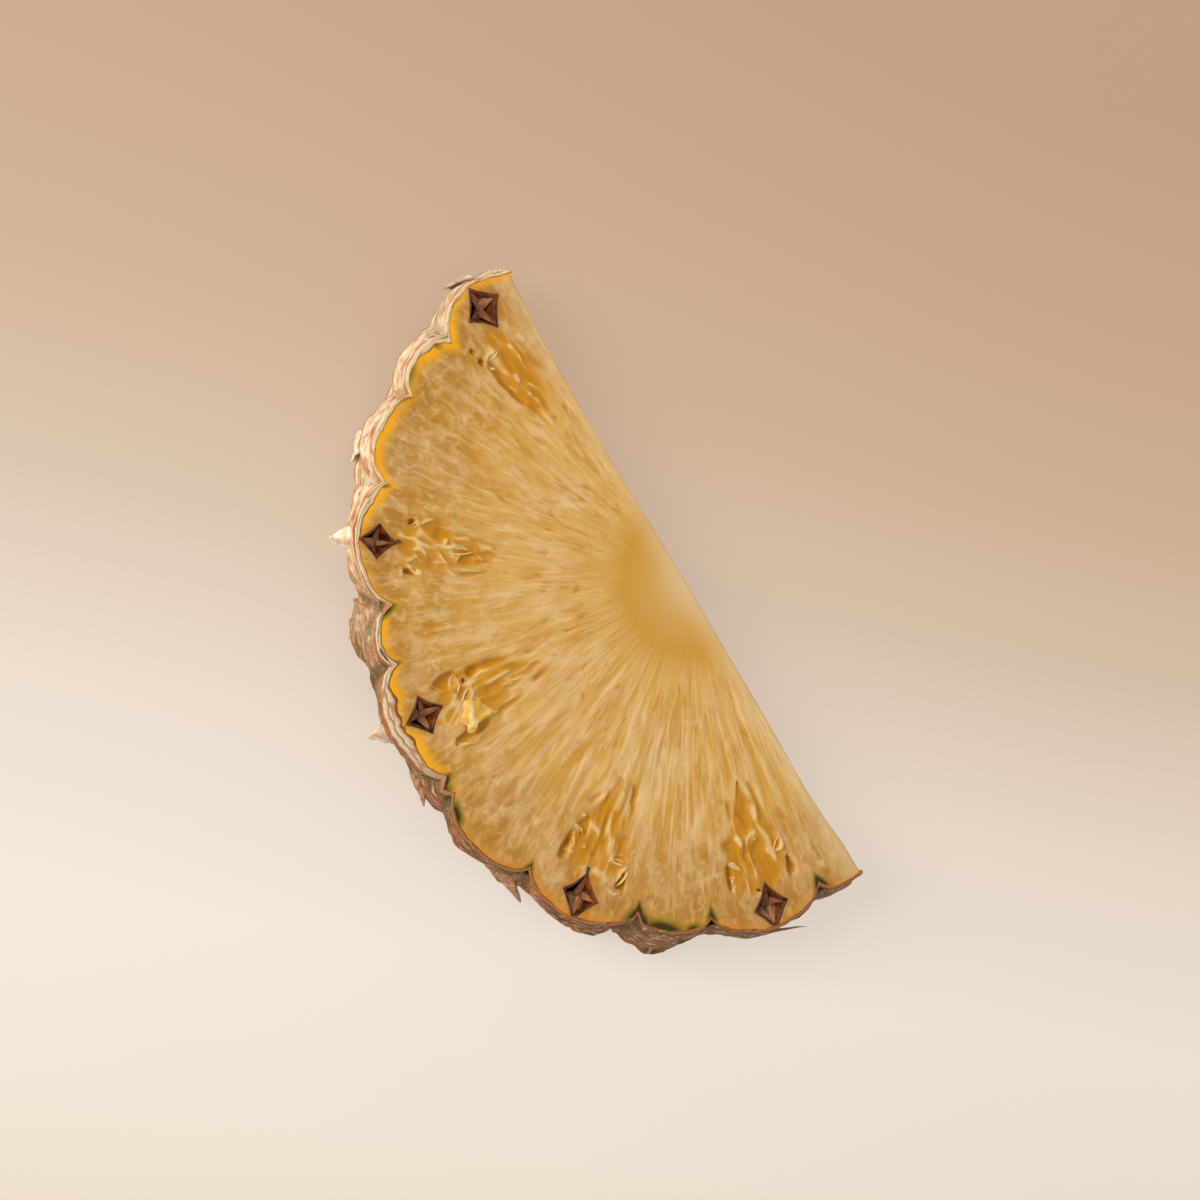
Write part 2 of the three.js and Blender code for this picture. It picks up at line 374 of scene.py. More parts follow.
angle, radius, depth = in_fruit(get_points(flesh))
near_face = smooth_step(depth, *NEAR_FACE)
inset = FLESH_INSET + near_face * (lip_width(angle) - LIP_OVERLAP - FLESH_INSET)
set_points(flesh, in_space(angle, skin_radius(angle, depth) - inset, depth))

edit_all()
bpy.ops.mesh.bisect(
    plane_co=(AXIS_X * MM, AXIS_Y * MM, 0), plane_no=(0, 1, 0), use_fill=True, clear_inner=True,
)
object_mode()
print("round of fruit:", len(flesh.data.polygons), "faces")

# %% [markdown]
# Each eye has a blossom pit under it, the hollow where its flower sat, and the knife opened
# five of them on this face and two on the other. A pit is four-pointed with sides that bow in.
# It is made as a cutter: a ring of sixteen points is bent to that outline, extruded down, and
# its bottom drawn in. Deeper in the flesh are the seed chambers, slits and teardrops that
# point at the core: round balls squeezed to shape, with noise so that no two match.

# %% Pit and chamber cutters
PIT_STEPS = 16
PIT_DEPTH = 4.5
PIT_MIDDLE = 0.44
PIT_BOTTOM = 0.45
CUT_OVERLAP = 1.0
UNEVEN = 0.18
PITS = [  # angle, distance from the axis, half width, half height
    (7.5, 60.1, 3.5, 4.0), (50, 59.8, 2.7, 3.3), (79.7, 55.6, 3.2, 3.6),
    (124, 57.4, 3.5, 4.1), (162.3, 58.8, 3.4, 4.1),
]
BACK_PITS = [(38, 57.0, 3.0, 3.4), (127, 56.0, 3.1, 3.6)]
CHAMBERS = [  # angle, distance from the axis, half length, half width, how pointed, depth
    (12.9, 47.8, 5.2, 1.05, 0.35, 1.0), (13.9, 56.2, 0.95, 0.45, 0.0, 1.0),
    (14.0, 53.8, 0.9, 0.6, 0.0, 1.2), (45.9, 53.9, 0.9, 0.6, 0.2, 1.2),
    (54.6, 53.7, 1.6, 0.6, -0.6, 1.2), (51.6, 43.2, 1.5, 0.95, 0.0, 0.5),
    (75.7, 50.1, 2.8, 1.35, -0.2, 1.2), (75.9, 44.2, 1.7, 0.75, 0.8, 1.2),
    (78.9, 47.6, 1.3, 0.9, 0.0, 0.6), (87.2, 48.8, 4.5, 0.95, 0.3, 1.0),
    (117.6, 50.4, 2.9, 0.85, 0.6, 1.5), (120.0, 46.2, 1.8, 0.8, 0.4, 0.6),
    (131.2, 52.6, 1.7, 0.85, 0.7, 1.6), (168.6, 53.1, 2.3, 0.85, 0.8, 1.6),
    (155.1, 52.0, 2.6, 0.75, -0.2, 1.4),
]


def pit_outline(halves):
    """Points round a pit, as (across, outward), with its four sides bowed inwards."""
    turns = np.arange(PIT_STEPS) * 2 * math.pi / PIT_STEPS
    share = (turns % (math.pi / 2)) / (math.pi / 2)
    shrink = 1 / (np.abs(np.cos(turns)) + np.abs(np.sin(turns)))
    bow = 1 - (1 - 2 * PIT_MIDDLE) * 4 * share * (1 - share)
    return np.stack([np.cos(turns), np.sin(turns)], axis=-1) * (shrink * bow)[:, None] * halves


def pit_cutter(angle, radius, half_width, half_height, from_back=False):
    deselect()
    bpy.ops.mesh.primitive_circle_add(vertices=PIT_STEPS, radius=MM, fill_type="NGON")
    cutter = bpy.context.object
    outline = pit_outline(np.array([half_width, half_height]))
    set_points(cutter, np.column_stack([outline, np.full(PIT_STEPS, CUT_OVERLAP)]))
    edit_all()
    bpy.ops.mesh.extrude_region_move(
        TRANSFORM_OT_translate={"value": (0, 0, -(PIT_DEPTH + CUT_OVERLAP) * MM)},
    )
    bpy.ops.transform.resize(value=(PIT_BOTTOM, PIT_BOTTOM, 1), center_override=(0, 0, 0))
    object_mode()
    across, outward, up = get_points(cutter).T
    height = -up if from_back else THICKNESS + up
    set_points(cutter, square_to_spoke(angle, radius + outward, across, height))
    face_outwards()
    return cutter


def chamber_cutter(number, angle, radius, half_length, half_width, pointed, deep):
    deselect()
    bpy.ops.mesh.primitive_ico_sphere_add(subdivisions=4, radius=MM)
    cutter = bpy.context.object
    along, across, up = get_points(cutter).T
    uneven = 1 + UNEVEN * soft_noise(along * 1.6, across * 1.6, up * 1.6 + number, 5)
    ring = radius + along * half_length * uneven
    swung = across * half_width * uneven * np.clip(1 + pointed * along, 0.12, None)
    height = THICKNESS + up * deep * uneven
    set_points(cutter, square_to_spoke(angle, ring, swung, height))
    return cutter


cutters = [pit_cutter(*size) for size in PITS]
cutters += [pit_cutter(*size, from_back=True) for size in BACK_PITS]
cutters += [chamber_cutter(number, *size) for number, size in enumerate(CHAMBERS)]
print(len(cutters), "cutters")

# %% [markdown]
# The cutters are joined into one, and a single boolean takes them all out of the flesh.

# %% Cut the hollows and remesh
VOXEL = 0.3

cutter = join_pieces(cutters, "cutter")
apply_modifier(
    flesh, "BOOLEAN", operation="DIFFERENCE", object=cutter, solver="EXACT", use_self=True,
)
bpy.data.objects.remove(cutter)
voxel = VOXEL
apply_modifier(flesh, "REMESH", mode="VOXEL", voxel_size=voxel * MM)
print("remeshed flesh:", len(flesh.data.polygons), "faces")

# %% [markdown]
# The knife wandered a little on its way through the core, so the straight cut isn't quite
# flat: a line through a few offsets bends it, fading out within some millimetres.
#
# The face of ripe pineapple isn't smooth either. Fibres run from the core to the skin and
# stand a tenth of a millimetre proud. Round the seed chambers the flesh is juicy and torn into
# soft folds, and a few long creases run towards the core. All of it is real relief, moved into
# the mesh by formulas of the three fruit measures.

# %% Relief of the cut faces
CUT_LINE = np.array([  # distance along the straight cut from the axis, how far it wanders off
    (-70, -0.4), (-62, -0.4), (-56, -0.3), (-50, 0.3), (-44, 0.6), (0, 0.7), (14, 1.1),
    (24, 1.4), (46, 1.3), (54, 1.0), (62, 0.4), (70, 0.2),
])
CUT_FADE = 6.0
FIBRE_HEIGHT = 0.09
FINE_FIBRE_HEIGHT = 0.05
FOLD_HEIGHT = 0.22
FOLD_SUNK = 0.25
RIDGE_SHARE = 0.75
CREASE_SHARE = 0.8
JUICY_ZONES = [  # angle, where it starts and ends from the axis, half width
    (9.8, 37, 57, 4.2), (50, 36, 57, 4.8), (81, 31, 55, 5.4), (124.2, 36, 56, 5.9),
    (161.5, 36, 57, 6.0),
]
FOLDS = [  # from angle and distance, to angle and distance, bow, half width, height
    (14.3, 53, 9.6, 52.7, -1, 0.35, 0.5), (13.9, 51.9, 12.3, 52.2, 0.7, 0.3, 0.4),
    (13, 47.7, 12.7, 44.9, 0, 0.3, 0.35), (10.8, 48.5, 11.4, 46, 0, 0.7, 0.45),
    (10.9, 44.4, 11.3, 43.1, 0, 0.5, 0.4), (10.9, 39.1, 11, 36.2, 0.4, 0.3, 0.3),
    (21.8, 42.8, 22.3, 38.8, 0, 0.45, 0.35), (5.5, 38.5, 7, 35.4, 0, 0.4, -0.35),
    (12.7, 42.4, 12.6, 34.6, 0, 0.5, -0.35), (5.5, 53.4, 4.9, 50.3, 0, 1, 0.35),
    (5.5, 48.5, 5, 42.4, 0, 1.4, -0.35),
    (45, 53.1, 46.7, 54.3, -0.8, 0.3, 0.5), (46.3, 52.7, 44.6, 49.3, -0.4, 0.4, 0.5),
    (48.3, 53.9, 49.5, 48.3, 0.7, 0.35, 0.45), (47.7, 47.2, 49.6, 47.8, 0, 0.55, 0.6),
    (47.7, 46.3, 48.2, 43.3, 1.2, 0.35, 0.5), (49.9, 47.9, 50.2, 41.3, -0.6, 0.35, 0.6),
    (50.2, 41.3, 52.3, 39.6, 0, 0.3, 0.4), (50.5, 44.3, 52.6, 45.6, 0, 0.4, 0.45),
    (50.3, 48.6, 53.4, 45.5, 0.6, 0.35, 0.5), (53.7, 47.1, 55.5, 44.6, 0.1, 0.35, 0.4),
    (53.9, 44.8, 53.6, 38.7, 0.2, 0.35, 0.4), (54.9, 44.8, 54.2, 36.9, -0.1, 0.6, -0.5),
    (53.3, 54.5, 55.7, 50.6, 0, 0.4, 0.7), (50.8, 53.6, 52.6, 50.3, -0.9, 0.5, 0.6),
    (53, 54.9, 51.3, 51.3, 0, 0.4, 0.4), (54, 55.4, 55.9, 54.5, 0.3, 0.35, 0.4),
    (46.8, 43.6, 48, 33.5, 0.1, 0.5, -0.35), (48.9, 41.2, 48.4, 37.7, 0, 0.8, 0.35),
    (46.6, 49.5, 47, 46.2, 0, 1.6, -0.45), (51.6, 50.1, 55.5, 49.4, 0, 1.2, -0.4),
    (35.5, 40.1, 36.9, 35.1, 0, 0.5, -0.35),
    (75, 52.6, 77.7, 50.4, 0.2, 0.3, 0.4), (75, 47.5, 78.6, 49.4, 0.7, 0.3, 0.5),
    (78.6, 49.4, 79.7, 48.4, 0, 0.3, 0.4), (78, 45.7, 81.6, 49.2, -1.2, 0.3, 0.4),
    (75.3, 42.9, 76.9, 34.8, 0, 0.6, -0.6), (76.9, 34.8, 77.5, 30.2, 0, 0.5, -0.35),
    (79.5, 43.7, 79.3, 36.4, 0, 0.5, 0.45), (81.7, 41, 83.2, 37.6, -0.2, 0.4, 0.35),
    (81.5, 43.9, 80.6, 38.1, 0, 1, -0.35), (83.7, 43.6, 83.9, 38.3, 0, 0.5, -0.3),
    (86.9, 43.5, 85.1, 35.2, 0.3, 0.6, -0.6), (85.1, 35.2, 83.5, 28.9, 0, 0.5, -0.5),
    (86.3, 53, 89.5, 47.7, 0.7, 0.45, 0.35), (91.1, 48.9, 91.1, 42.4, 0, 0.35, -0.25),
    (117.6, 51, 120.1, 51.3, 0, 0.3, 0.5), (116.9, 46.5, 120.1, 47.6, 0.3, 0.35, 0.5),
    (117.8, 44.4, 119, 45.1, 0, 0.35, 0.5), (118.2, 48.5, 119.5, 50.6, 0, 0.35, 0.4),
    (121.1, 49.1, 121.8, 49.8, 0, 0.55, 0.45), (118.3, 45.7, 120.9, 47.3, 0, 0.9, -0.4),
    (124.3, 50.5, 122.8, 49, 0, 0.4, -0.4), (124.3, 50.5, 124.4, 47.6, 0, 0.4, -0.4),
    (118.8, 42.7, 121.3, 37.6, 0, 0.6, -0.45), (121.2, 41.4, 122, 38.7, 0, 0.5, 0.35),
    (124.6, 47, 125.1, 39.4, -0.4, 0.5, -0.6), (125.1, 42.3, 126.8, 36.8, 0, 1.2, 0.35),
    (128.9, 36.3, 129.5, 43.9, -0.5, 0.6, -0.7), (130.1, 44.6, 129.2, 48.3, 0, 1.2, -0.5),
    (127.3, 49.5, 131.9, 49.9, 0.4, 0.35, 0.5), (127.6, 48.7, 132.1, 48.4, 0, 0.25, 0.35),
    (132, 50.1, 130, 54.1, 0.4, 0.4, 0.6), (128.2, 54.2, 132.3, 54.1, 1.1, 0.45, 0.4),
    (124.9, 48.1, 125.6, 45.7, 0, 0.8, -0.3),
    (154.8, 51.7, 155.4, 53.1, -0.7, 0.3, 0.4), (154.7, 49.3, 158.5, 51.8, 0, 0.5, 0.45),
    (157.8, 44.9, 159, 48.1, 0, 0.7, 0.6), (162.5, 46.2, 162.5, 47.2, 0, 0.5, 0.4),
    (157.6, 38.6, 157.9, 44.5, 0.3, 0.6, -0.6), (159.6, 41.1, 162.1, 46.1, -0.4, 0.6, -0.6),
    (164.2, 40.2, 163.3, 44.6, 0, 1.2, 0.4), (164.7, 36.4, 167.1, 47.5, 0, 0.5, -0.5),
    (168.4, 47.9, 165.3, 49.7, -1.2, 0.6, 0.6), (167.1, 45.6, 168.6, 47.6, 0, 0.4, -0.4),
    (155.8, 45.3, 156.1, 48.8, 0, 1.6, -0.6), (161.3, 48, 164.2, 49.5, 0, 1.8, -0.5),
    (158.5, 48.5, 162.4, 48.3, 0, 1.2, -0.5), (163, 50.5, 163.1, 50.9, 0, 0.3, 0.4),
    (160.7, 50, 163.6, 52.2, 0, 1.2, -0.3),
]
NOTCHES = [  # the same measures for the dark slits that run in from the skin's valleys
    (18.4, 66.8, 17.1, 62.7, 0.3, 0.35, 0.8), (21.7, 65.8, 24.8, 62.6, 0.3, 0.45, 0.5),
    (41.6, 64.8, 41.2, 61.4, 0.2, 0.35, 0.8), (69.4, 62.4, 70.2, 58.1, -0.3, 0.35, 0.8),
    (91.8, 61.4, 91.8, 58.6, 0.3, 0.4, 0.5), (113.2, 62.2, 113.2, 58.7, 0.2, 0.35, 0.7),
    (150.4, 63.2, 150.6, 58.8, 0.0, 0.55, 1.2), (137.2, 61.0, 136.7, 58.3, 0.4, 0.35, 0.5),
    (173.9, 63.0, 172.7, 60.2, 0.3, 0.5, 0.8),
]


def fibre_height(angle, radius, depth):
    across = arc_length(angle, MID_RADIUS)
    sway = 1.2 * soft_noise(radius / 14, across / 9, depth / 6, 11)
    broad = soft_noise((across + sway) / 1.9, radius / 8, depth / 2.5, 12)
    fine = soft_noise((across + sway) / 0.8, radius / 4.5, depth / 1.2, 13)
    reach = smooth_step(radius, 11, 20) * (1 - 0.6 * smooth_step(radius, 48, 58))
    detail = FINE_FIBRE_HEIGHT * fine * smooth_step(radius, 22, 34)
    return reach * (FIBRE_HEIGHT * broad + detail)


def juiciness(angle, radius):
    """1 in the juicy flesh round the seed chambers, 0 in the firm flesh between."""
    most = np.zeros(len(angle))
    ragged = soft_noise(arc_length(angle, MID_RADIUS) / 2.5, radius / 5, 0, 20)
    for zone_angle, inner, outer, half_width in JUICY_ZONES:
        share = np.clip((radius - inner) / (outer - inner), 0, 1)
        width = half_width * np.sin(math.pi * share**1.5) ** 0.8 + 1e-6
        gap = np.abs(arc_length(angle - zone_angle, radius)) + 0.9 * ragged
        inside = (radius > inner) & (radius < outer)
        most = np.maximum(most, inside * smooth_step(gap, 1.2 * width, 0.6 * width))
    return most


def fold_height(angle, radius, depth):
    """Soft folds from -1 in a trough to 1 on a crest."""
    across = arc_length(angle, MID_RADIUS)
    bend = 1.6 * soft_noise(radius / 6, across / 5, 0, 21)
    broad = 1 - 2 * np.abs(soft_noise((across + bend) / 2.0, radius / 7, depth / 3, 22))
    small = 1 - 2 * np.abs(soft_noise((across + bend) / 0.95, radius / 3.4, depth / 2, 23))
    return 0.65 * broad + 0.35 * small


def line_strength(rows, angle, radius):
    """How strong the raised and the sunk lines of a list are at each point, in millimetres."""
    x, y = in_space(angle, radius, 0).T[:2]
    raised, sunk = np.zeros(len(angle)), np.zeros(len(angle))
    for angle_a, radius_a, angle_b, radius_b, bow, half_width, height in rows:
        (ax, ay, _), (bx, by, _) = in_space(
            np.array([angle_a, angle_b]), np.array([radius_a, radius_b]), 0,
        )
        length = math.hypot(bx - ax, by - ay)
        along = ((x - ax) * (bx - ax) + (y - ay) * (by - ay)) / length
        aside = ((x - ax) * (by - ay) - (y - ay) * (bx - ax)) / length
        share = np.clip(along / length, 0, 1)
        wander = 0.35 * half_width * soft_noise(along / 1.5, 0 * along, angle_a, 24)
        narrowed = half_width * (1 - 0.55 * share)
        off = (aside - 4 * bow * share * (1 - share) + wander) / narrowed
        start = min(1.5, 0.3 * length)
        ends = smooth_step(along, -0.5 * start, start)
        ends *= smooth_step(along, length, (0.6 if height > 0 else 0.15) * length)
        line = abs(height) * np.exp(-(off**2)) * ends
        if height > 0:
            raised = np.maximum(raised, line)
        else:
            sunk = np.maximum(sunk, line)
    return raised, sunk


points = get_points(flesh)
offset = np.interp(points[:, 0] - AXIS_X, *CUT_LINE.T)
points[:, 1] += offset * np.exp(-(points[:, 1] - AXIS_Y) / CUT_FADE)
angle, radius, depth = in_fruit(points)
ridges, creases = line_strength(FOLDS, angle, radius)
notches = line_strength(NOTCHES, angle, radius)[0]
on_top = smooth_step(depth, 0.6, 0.3)
drawn = RIDGE_SHARE * ridges - CREASE_SHARE * creases - notches
folded = juiciness(angle, radius) * (FOLD_HEIGHT * fold_height(angle, radius, depth) - FOLD_SUNK)
raised = fibre_height(angle, radius, depth) + on_top * (folded + drawn)
inner = smooth_step(skin_radius(angle, depth) - radius, 0.8, 2.0)
points += take(flesh.data.vertex_normals, "vector", 3) * (raised * inner)[:, None]
points[:, 2] = np.clip(points[:, 2], 0, None)
set_points(flesh, points)
print("highest fold", raised.max().round(2), "mm, deepest groove", raised.min().round(2), "mm")

# %% [markdown]
# The remesh made the same fine faces everywhere. Only the upper face needs them, so everything
# lower is selected by its place and decimated. That takes the piece from about 378,000 triangles
# to about 231,000. A lower ratio would take it under 200,000, past which an STL file is thinned.

# %% Thin out the hidden faces
FINE_DEPTH = 3.2
LOWER_RATIO = 0.3

lower = take(flesh.data.polygons, "center", 3)[:, 2] / MM < THICKNESS - FINE_DEPTH
select_where(flesh, "polygons", lower)
bpy.ops.mesh.decimate(ratio=LOWER_RATIO)
object_mode()
finish_piece(flesh)

# %% [markdown]
# The colours follow the fruit's own parts: yellow flesh under the skin, green where a valley
# runs in, brown round a pit, amber juice in the troughs, and pale membranes seen through the
# surface. Where each of these lies is worked out once for every point and painted on as an
# attribute, and the material turns them into colours.

# %% Paint the flesh's points
GREEN_SPOTS = [  # angle, half width along the rim, how far in, strength
    (17.6, 0.8, 3.8, 0.75), (23.5, 2.2, 3.0, 0.55), (27.5, 1.6, 2.4, 0.45), (41.3, 0.6, 3.4, 0.7),
    (61.0, 1.5, 3.6, 0.95), (69.8, 0.8, 3.8, 0.75), (65.5, 1.2, 1.6, 0.5), (91.6, 1.9, 3.6, 0.95),
    (96.8, 2.2, 3.4, 1.0), (113.0, 1.4, 2.8, 0.8), (115.5, 2.0, 1.3, 0.5), (136.0, 3.2, 4.0, 1.0),
    (141.0, 4.4, 3.4, 1.0), (146.6, 1.9, 2.5, 0.8), (150.5, 1.4, 4.2, 0.8), (172.8, 1.8, 3.8, 1.0),
]
BAND = np.array([  # angle, how yellow the flesh is under the skin, how far in that reaches
    (-5, 0.6, 1.0), (3, 0.8, 1.2), (10, 0.6, 1.0), (14, 1.0, 2.4), (20, 0.9, 2.2), (26, 0.4, 1.4),
    (31, 0.9, 2.2), (39, 1.0, 1.9), (46, 0.9, 1.5), (51, 0.3, 0.9), (58, 0.4, 1.0),
    (64, 0.9, 1.5), (69, 0.5, 1.2), (74, 0.95, 1.6), (78, 0.4, 0.9), (83, 0.9, 2.0),
    (89, 0.8, 1.6), (97, 0.4, 1.0), (106, 0.6, 1.2), (116, 0.7, 1.5), (128, 0.7, 1.3),
    (140, 0.5, 1.4), (152, 0.6, 1.3), (166, 0.45, 1.0), (185, 0.4, 0.8),
])
# angles over which painted shade comes in on the far half of the slice
FAR_HALF_SHADE = (86, 104)
GHOSTS = [  # angle, distance from the axis, half length, half width of a closed chamber
    (34.0, 50.0, 4.2, 1.3), (31.0, 53.0, 3.0, 1.0), (101.0, 50.5, 4.4, 2.2),
    (104.5, 47.0, 5.2, 1.3), (107.5, 51.0, 3.0, 1.1), (5.6, 52.0, 2.2, 0.9),
]


def pit_gap(angle, radius, pits):
    """Roughly how far a point is outside the nearest pit, and less than 0 inside one."""
    nearest = np.full(len(angle), 99.0)
    for pit_angle, pit_radius, half_width, half_height in pits:
        across = np.abs(arc_length(angle - pit_angle, pit_radius)) / half_width
        outward = np.abs(radius - pit_radius) / half_height
        power = math.log(2) / math.log(1 / PIT_MIDDLE)
        reach = (across**power + outward**power) ** (1 / power)
        nearest = np.minimum(nearest, (reach - 1) * half_width * 0.55)
    return nearest


def green_tint(angle, gap_to_skin):
    tint = np.zeros(len(angle))
    for spot_angle, half_width, inward, strength in GREEN_SPOTS:
        aside = np.abs(arc_length(angle - spot_angle)) / half_width
        spot = np.exp(-(aside**2)) * smooth_step(gap_to_skin, inward, 0.6)
        tint = np.maximum(tint, strength * spot)
    return tint


def ghost_tint(angle, radius):
    """Pale on a closed chamber's wall and less than 0, tan, inside it."""
    tint = np.zeros(len(angle))
    for ghost_angle, ghost_radius, half_length, half_width in GHOSTS:
        across = arc_length(angle - ghost_angle, radius) / half_width
        along = (radius - ghost_radius) / half_length
        wobble = 0.25 * soft_noise(along * 2, across * 2, ghost_angle, 31)
        reach = np.hypot(across, along) + wobble
        ring = np.exp(-(((reach - 1) / 0.22) ** 2))
        tint = tint + ring - 0.8 * smooth_step(reach, 0.9, 0.3)
    return tint


points = get_points(flesh)
angle, radius, depth = in_fruit(points)
gap_to_skin = skin_radius(angle, depth) - radius
upper = smooth_step(depth, 3.5, 1.0)
lower = smooth_step(THICKNESS - depth, 5.0, 3.5)
to_pit = pit_gap(angle, radius, PITS)
in_upper_pit = smooth_step(to_pit, 0.5, 0.05) * smooth_step(depth, 5.2, 4.6)
in_lower_pit = smooth_step(pit_gap(angle, radius, BACK_PITS), 0.5, 0.05) * lower
sunk = smooth_step(depth, 0.3, 0.8) * smooth_step(depth, 3.4, 2.8)
inside = smooth_step(gap_to_skin, 1.5, 2.5) * smooth_step(points[:, 1] - AXIS_Y, 1.6, 2.4)
ridges, creases = line_strength(FOLDS, angle, radius)
notches = line_strength(NOTCHES, angle, radius)[0]
yellow, reach = (np.interp(angle, BAND[:, 0], share) for share in BAND.T[1:])
paint(
    flesh,
    juicy=juiciness(angle, radius),
    crest=fold_height(angle, radius, 0 * depth),
    ridge=ridges * upper,
    crease=creases * upper,
    notch=notches * upper,
    band=yellow * smooth_step(gap_to_skin - lip_width(angle), reach + 0.8, 0.2 * reach),
    late=smooth_step(angle, *FAR_HALF_SHADE),
    hollow=sunk * inside,
    pit=np.maximum(in_upper_pit, in_lower_pit),
    stain=smooth_step(to_pit, 1.4, 0.1),
    pit_edge=smooth_step(to_pit, 0.3, 0.02) * upper,
    green=green_tint(angle, gap_to_skin),
    ghost=ghost_tint(angle, radius) * upper,
)
print("painted", len(points), "points")

# %% [markdown]
# ## The flesh's material
# A look is a material in the making. It starts with the numbers that are the same all over, then
# colours are laid one over another, and at the end the piece is given the result. Colours are
# written as they look on a screen, 0 to 255, and turned into the light values that Blender works
# with.

# %% Helpers for materials
def rgb(red, green, blue):
    shares = [value / 255 for value in (red, green, blue)]
    linear = [s / 12.92 if s <= 0.04045 else ((s + 0.055) / 1.055) ** 2.4 for s in shares]
    return (*linear, 1.0)


LIGHT_REACH = (1.0, 0.55, 0.2)  # how deep red, green and blue light go, against one another


class Look:
    """A material in the making. Most methods add a node and give back its output."""

    def __init__(self, name, roughness, scatter=0.0, scatter_depth=1.0):
        self.material = bpy.data.materials.new(name)
        self.material.use_nodes = True
        self.tree = self.material.node_tree
        self.inputs = self.tree.nodes["Principled BSDF"].inputs
        self.inputs["Roughness"].default_value = roughness
        self.inputs["Subsurface Weight"].default_value = scatter
        self.inputs["Subsurface Radius"].default_value = LIGHT_REACH
        self.inputs["Subsurface Scale"].default_value = scatter_depth * MM

    def node(self, kind, inputs=(), **settings):
        """Adds a node. inputs pairs a socket's name or number with a number or another socket."""
        made = self.tree.nodes.new(kind)
        for name, value in settings.items():
            setattr(made, name, value)
        for socket, value in dict(inputs).items():
            if isinstance(value, bpy.types.NodeSocket):
                self.tree.links.new(value, made.inputs[socket])
            else:
                made.inputs[socket].default_value = value
        return made

    def join(self, source, socket):
        self.tree.links.new(source, self.inputs[socket])

    def painted(self, name):
        """A number that was painted on the points."""
        return self.node("ShaderNodeAttribute", attribute_name=name).outputs["Fac"]

    def maths(self, operation, first, second=0.0, third=0.0, clamp=False):
        values = {0: first, 1: second, 2: third}
        return self.node("ShaderNodeMath", values, operation=operation, use_clamp=clamp).outputs[0]

    def times(self, first, second):
        return self.maths("MULTIPLY", first, second)

    def between(self, value, low, high, out_low=0.0, out_high=1.0):
        """Maps a value from one range to another and holds it there."""
        values = {"Value": value, "From Min": low, "From Max": high}
        values.update({"To Min": out_low, "To Max": out_high})
        made = self.node("ShaderNodeMapRange", values, interpolation_type="SMOOTHSTEP")
        return made.outputs["Result"]

    def dot(self, vector, direction):
        values = {0: vector, 1: direction}
        made = self.node("ShaderNodeVectorMath", values, operation="DOT_PRODUCT")
        return made.outputs["Value"]

    def triple(self, x, y, z=0.0):
        return self.node("ShaderNodeCombineXYZ", {"X": x, "Y": y, "Z": z}).outputs[0]

    def blend(self, share, under, over):
        """One colour over another by a share. A Mix node's colours are its inputs 6 and 7."""
        values = {0: share, 6: under, 7: over}
        return self.node("ShaderNodeMix", values, data_type="RGBA").outputs[2]

    def ramp(self, value, *stops):
        """A colour for each of some values from 0 to 1, blended between them."""
        made = self.node("ShaderNodeValToRGB", {"Fac": value})
        points = made.color_ramp.elements
        for place, *_ in stops[2:]:
            points.new(place)
        for element, (place, *colour) in zip(points, stops):
            element.position = place
            element.color = rgb(*colour)
        return made.outputs["Color"]

    def noise(self, vector, scale, detail=2.0, roughness=0.5, distortion=0.0):
        values = {"Vector": vector, "Scale": scale, "Detail": detail}
        values.update({"Roughness": roughness, "Distortion": distortion})
        return self.node("ShaderNodeTexNoise", values).outputs["Fac"]

    def lay(self, share, strength, over):
        """Lays a colour over what is there where the share is high, up to the strength."""
        self.colour = self.blend(self.times(share, strength), self.colour, rgb(*over))

    def lay_painted(self, name, low, high, strength, over):
        """Lays a colour where a painted number is high, read over a range or as it is."""
        share = self.painted(name)
        self.lay(share if low is None else self.between(share, low, high), strength, over)

    def bump(self, height, distance, strength=1.0):
        values = {"Height": height, "Distance": distance * MM, "Strength": strength}
        self.join(self.node("ShaderNodeBump", values).outputs["Normal"], "Normal")

    def places(self):
        """Object coordinates in millimetres, for patterns that don't follow the fibres."""
        values = {0: self.node("ShaderNodeTexCoord").outputs["Object"], "Scale": 1 / MM}
        return self.node("ShaderNodeVectorMath", values, operation="SCALE").outputs[0]

    def give(self, thing):
        """Ends the look: its colour goes to the shader, and its material to a piece."""
        self.join(self.colour, "Base Color")
        thing.data.materials.append(self.material)
        print(f"{thing.name}: a look of {len(self.tree.nodes)} nodes")


class FleshLook(Look):
    """A look that also knows places in the fruit, for patterns that follow the fibres."""

    def find_places(self):
        coordinates = self.node("ShaderNodeTexCoord").outputs["Object"]
        split = self.node("ShaderNodeSeparateXYZ", {0: coordinates}).outputs
        x = self.maths("MULTIPLY_ADD", split["X"], 1 / MM, -AXIS_X)
        y = self.maths("MULTIPLY_ADD", split["Y"], 1 / MM, -AXIS_Y)
        self.radius = self.maths("SQRT", self.maths("MULTIPLY_ADD", x, x, self.times(y, y)))
        self.turn = self.maths("ARCTAN2", y, x)
        self.height = self.times(split["Z"], 1 / MM)

    def grain(self, across, along, through, detail, roughness=0.5, distortion=0.0):
        """Noise whose bumps are this many millimetres across, along and through the fibres."""
        vector = self.triple(
            self.times(self.turn, MID_RADIUS / across), self.times(self.radius, 1 / along),
            self.times(self.height, 1 / through),
        )
        return self.noise(vector, 1, detail, roughness, distortion)

# %% [markdown]
# Colour in the flesh starts as a ramp from the core to the skin: pale at the very middle, an
# amber ring round the core, straw in the middle and tan towards the skin. Noise stretched
# along the fibres lays cream and amber streaks over it, and these fade towards the rind. The
# flesh is translucent, so subsurface scattering softens it, red light going deepest, and it is
# smooth with juice but not glassy, so its shine is set low.

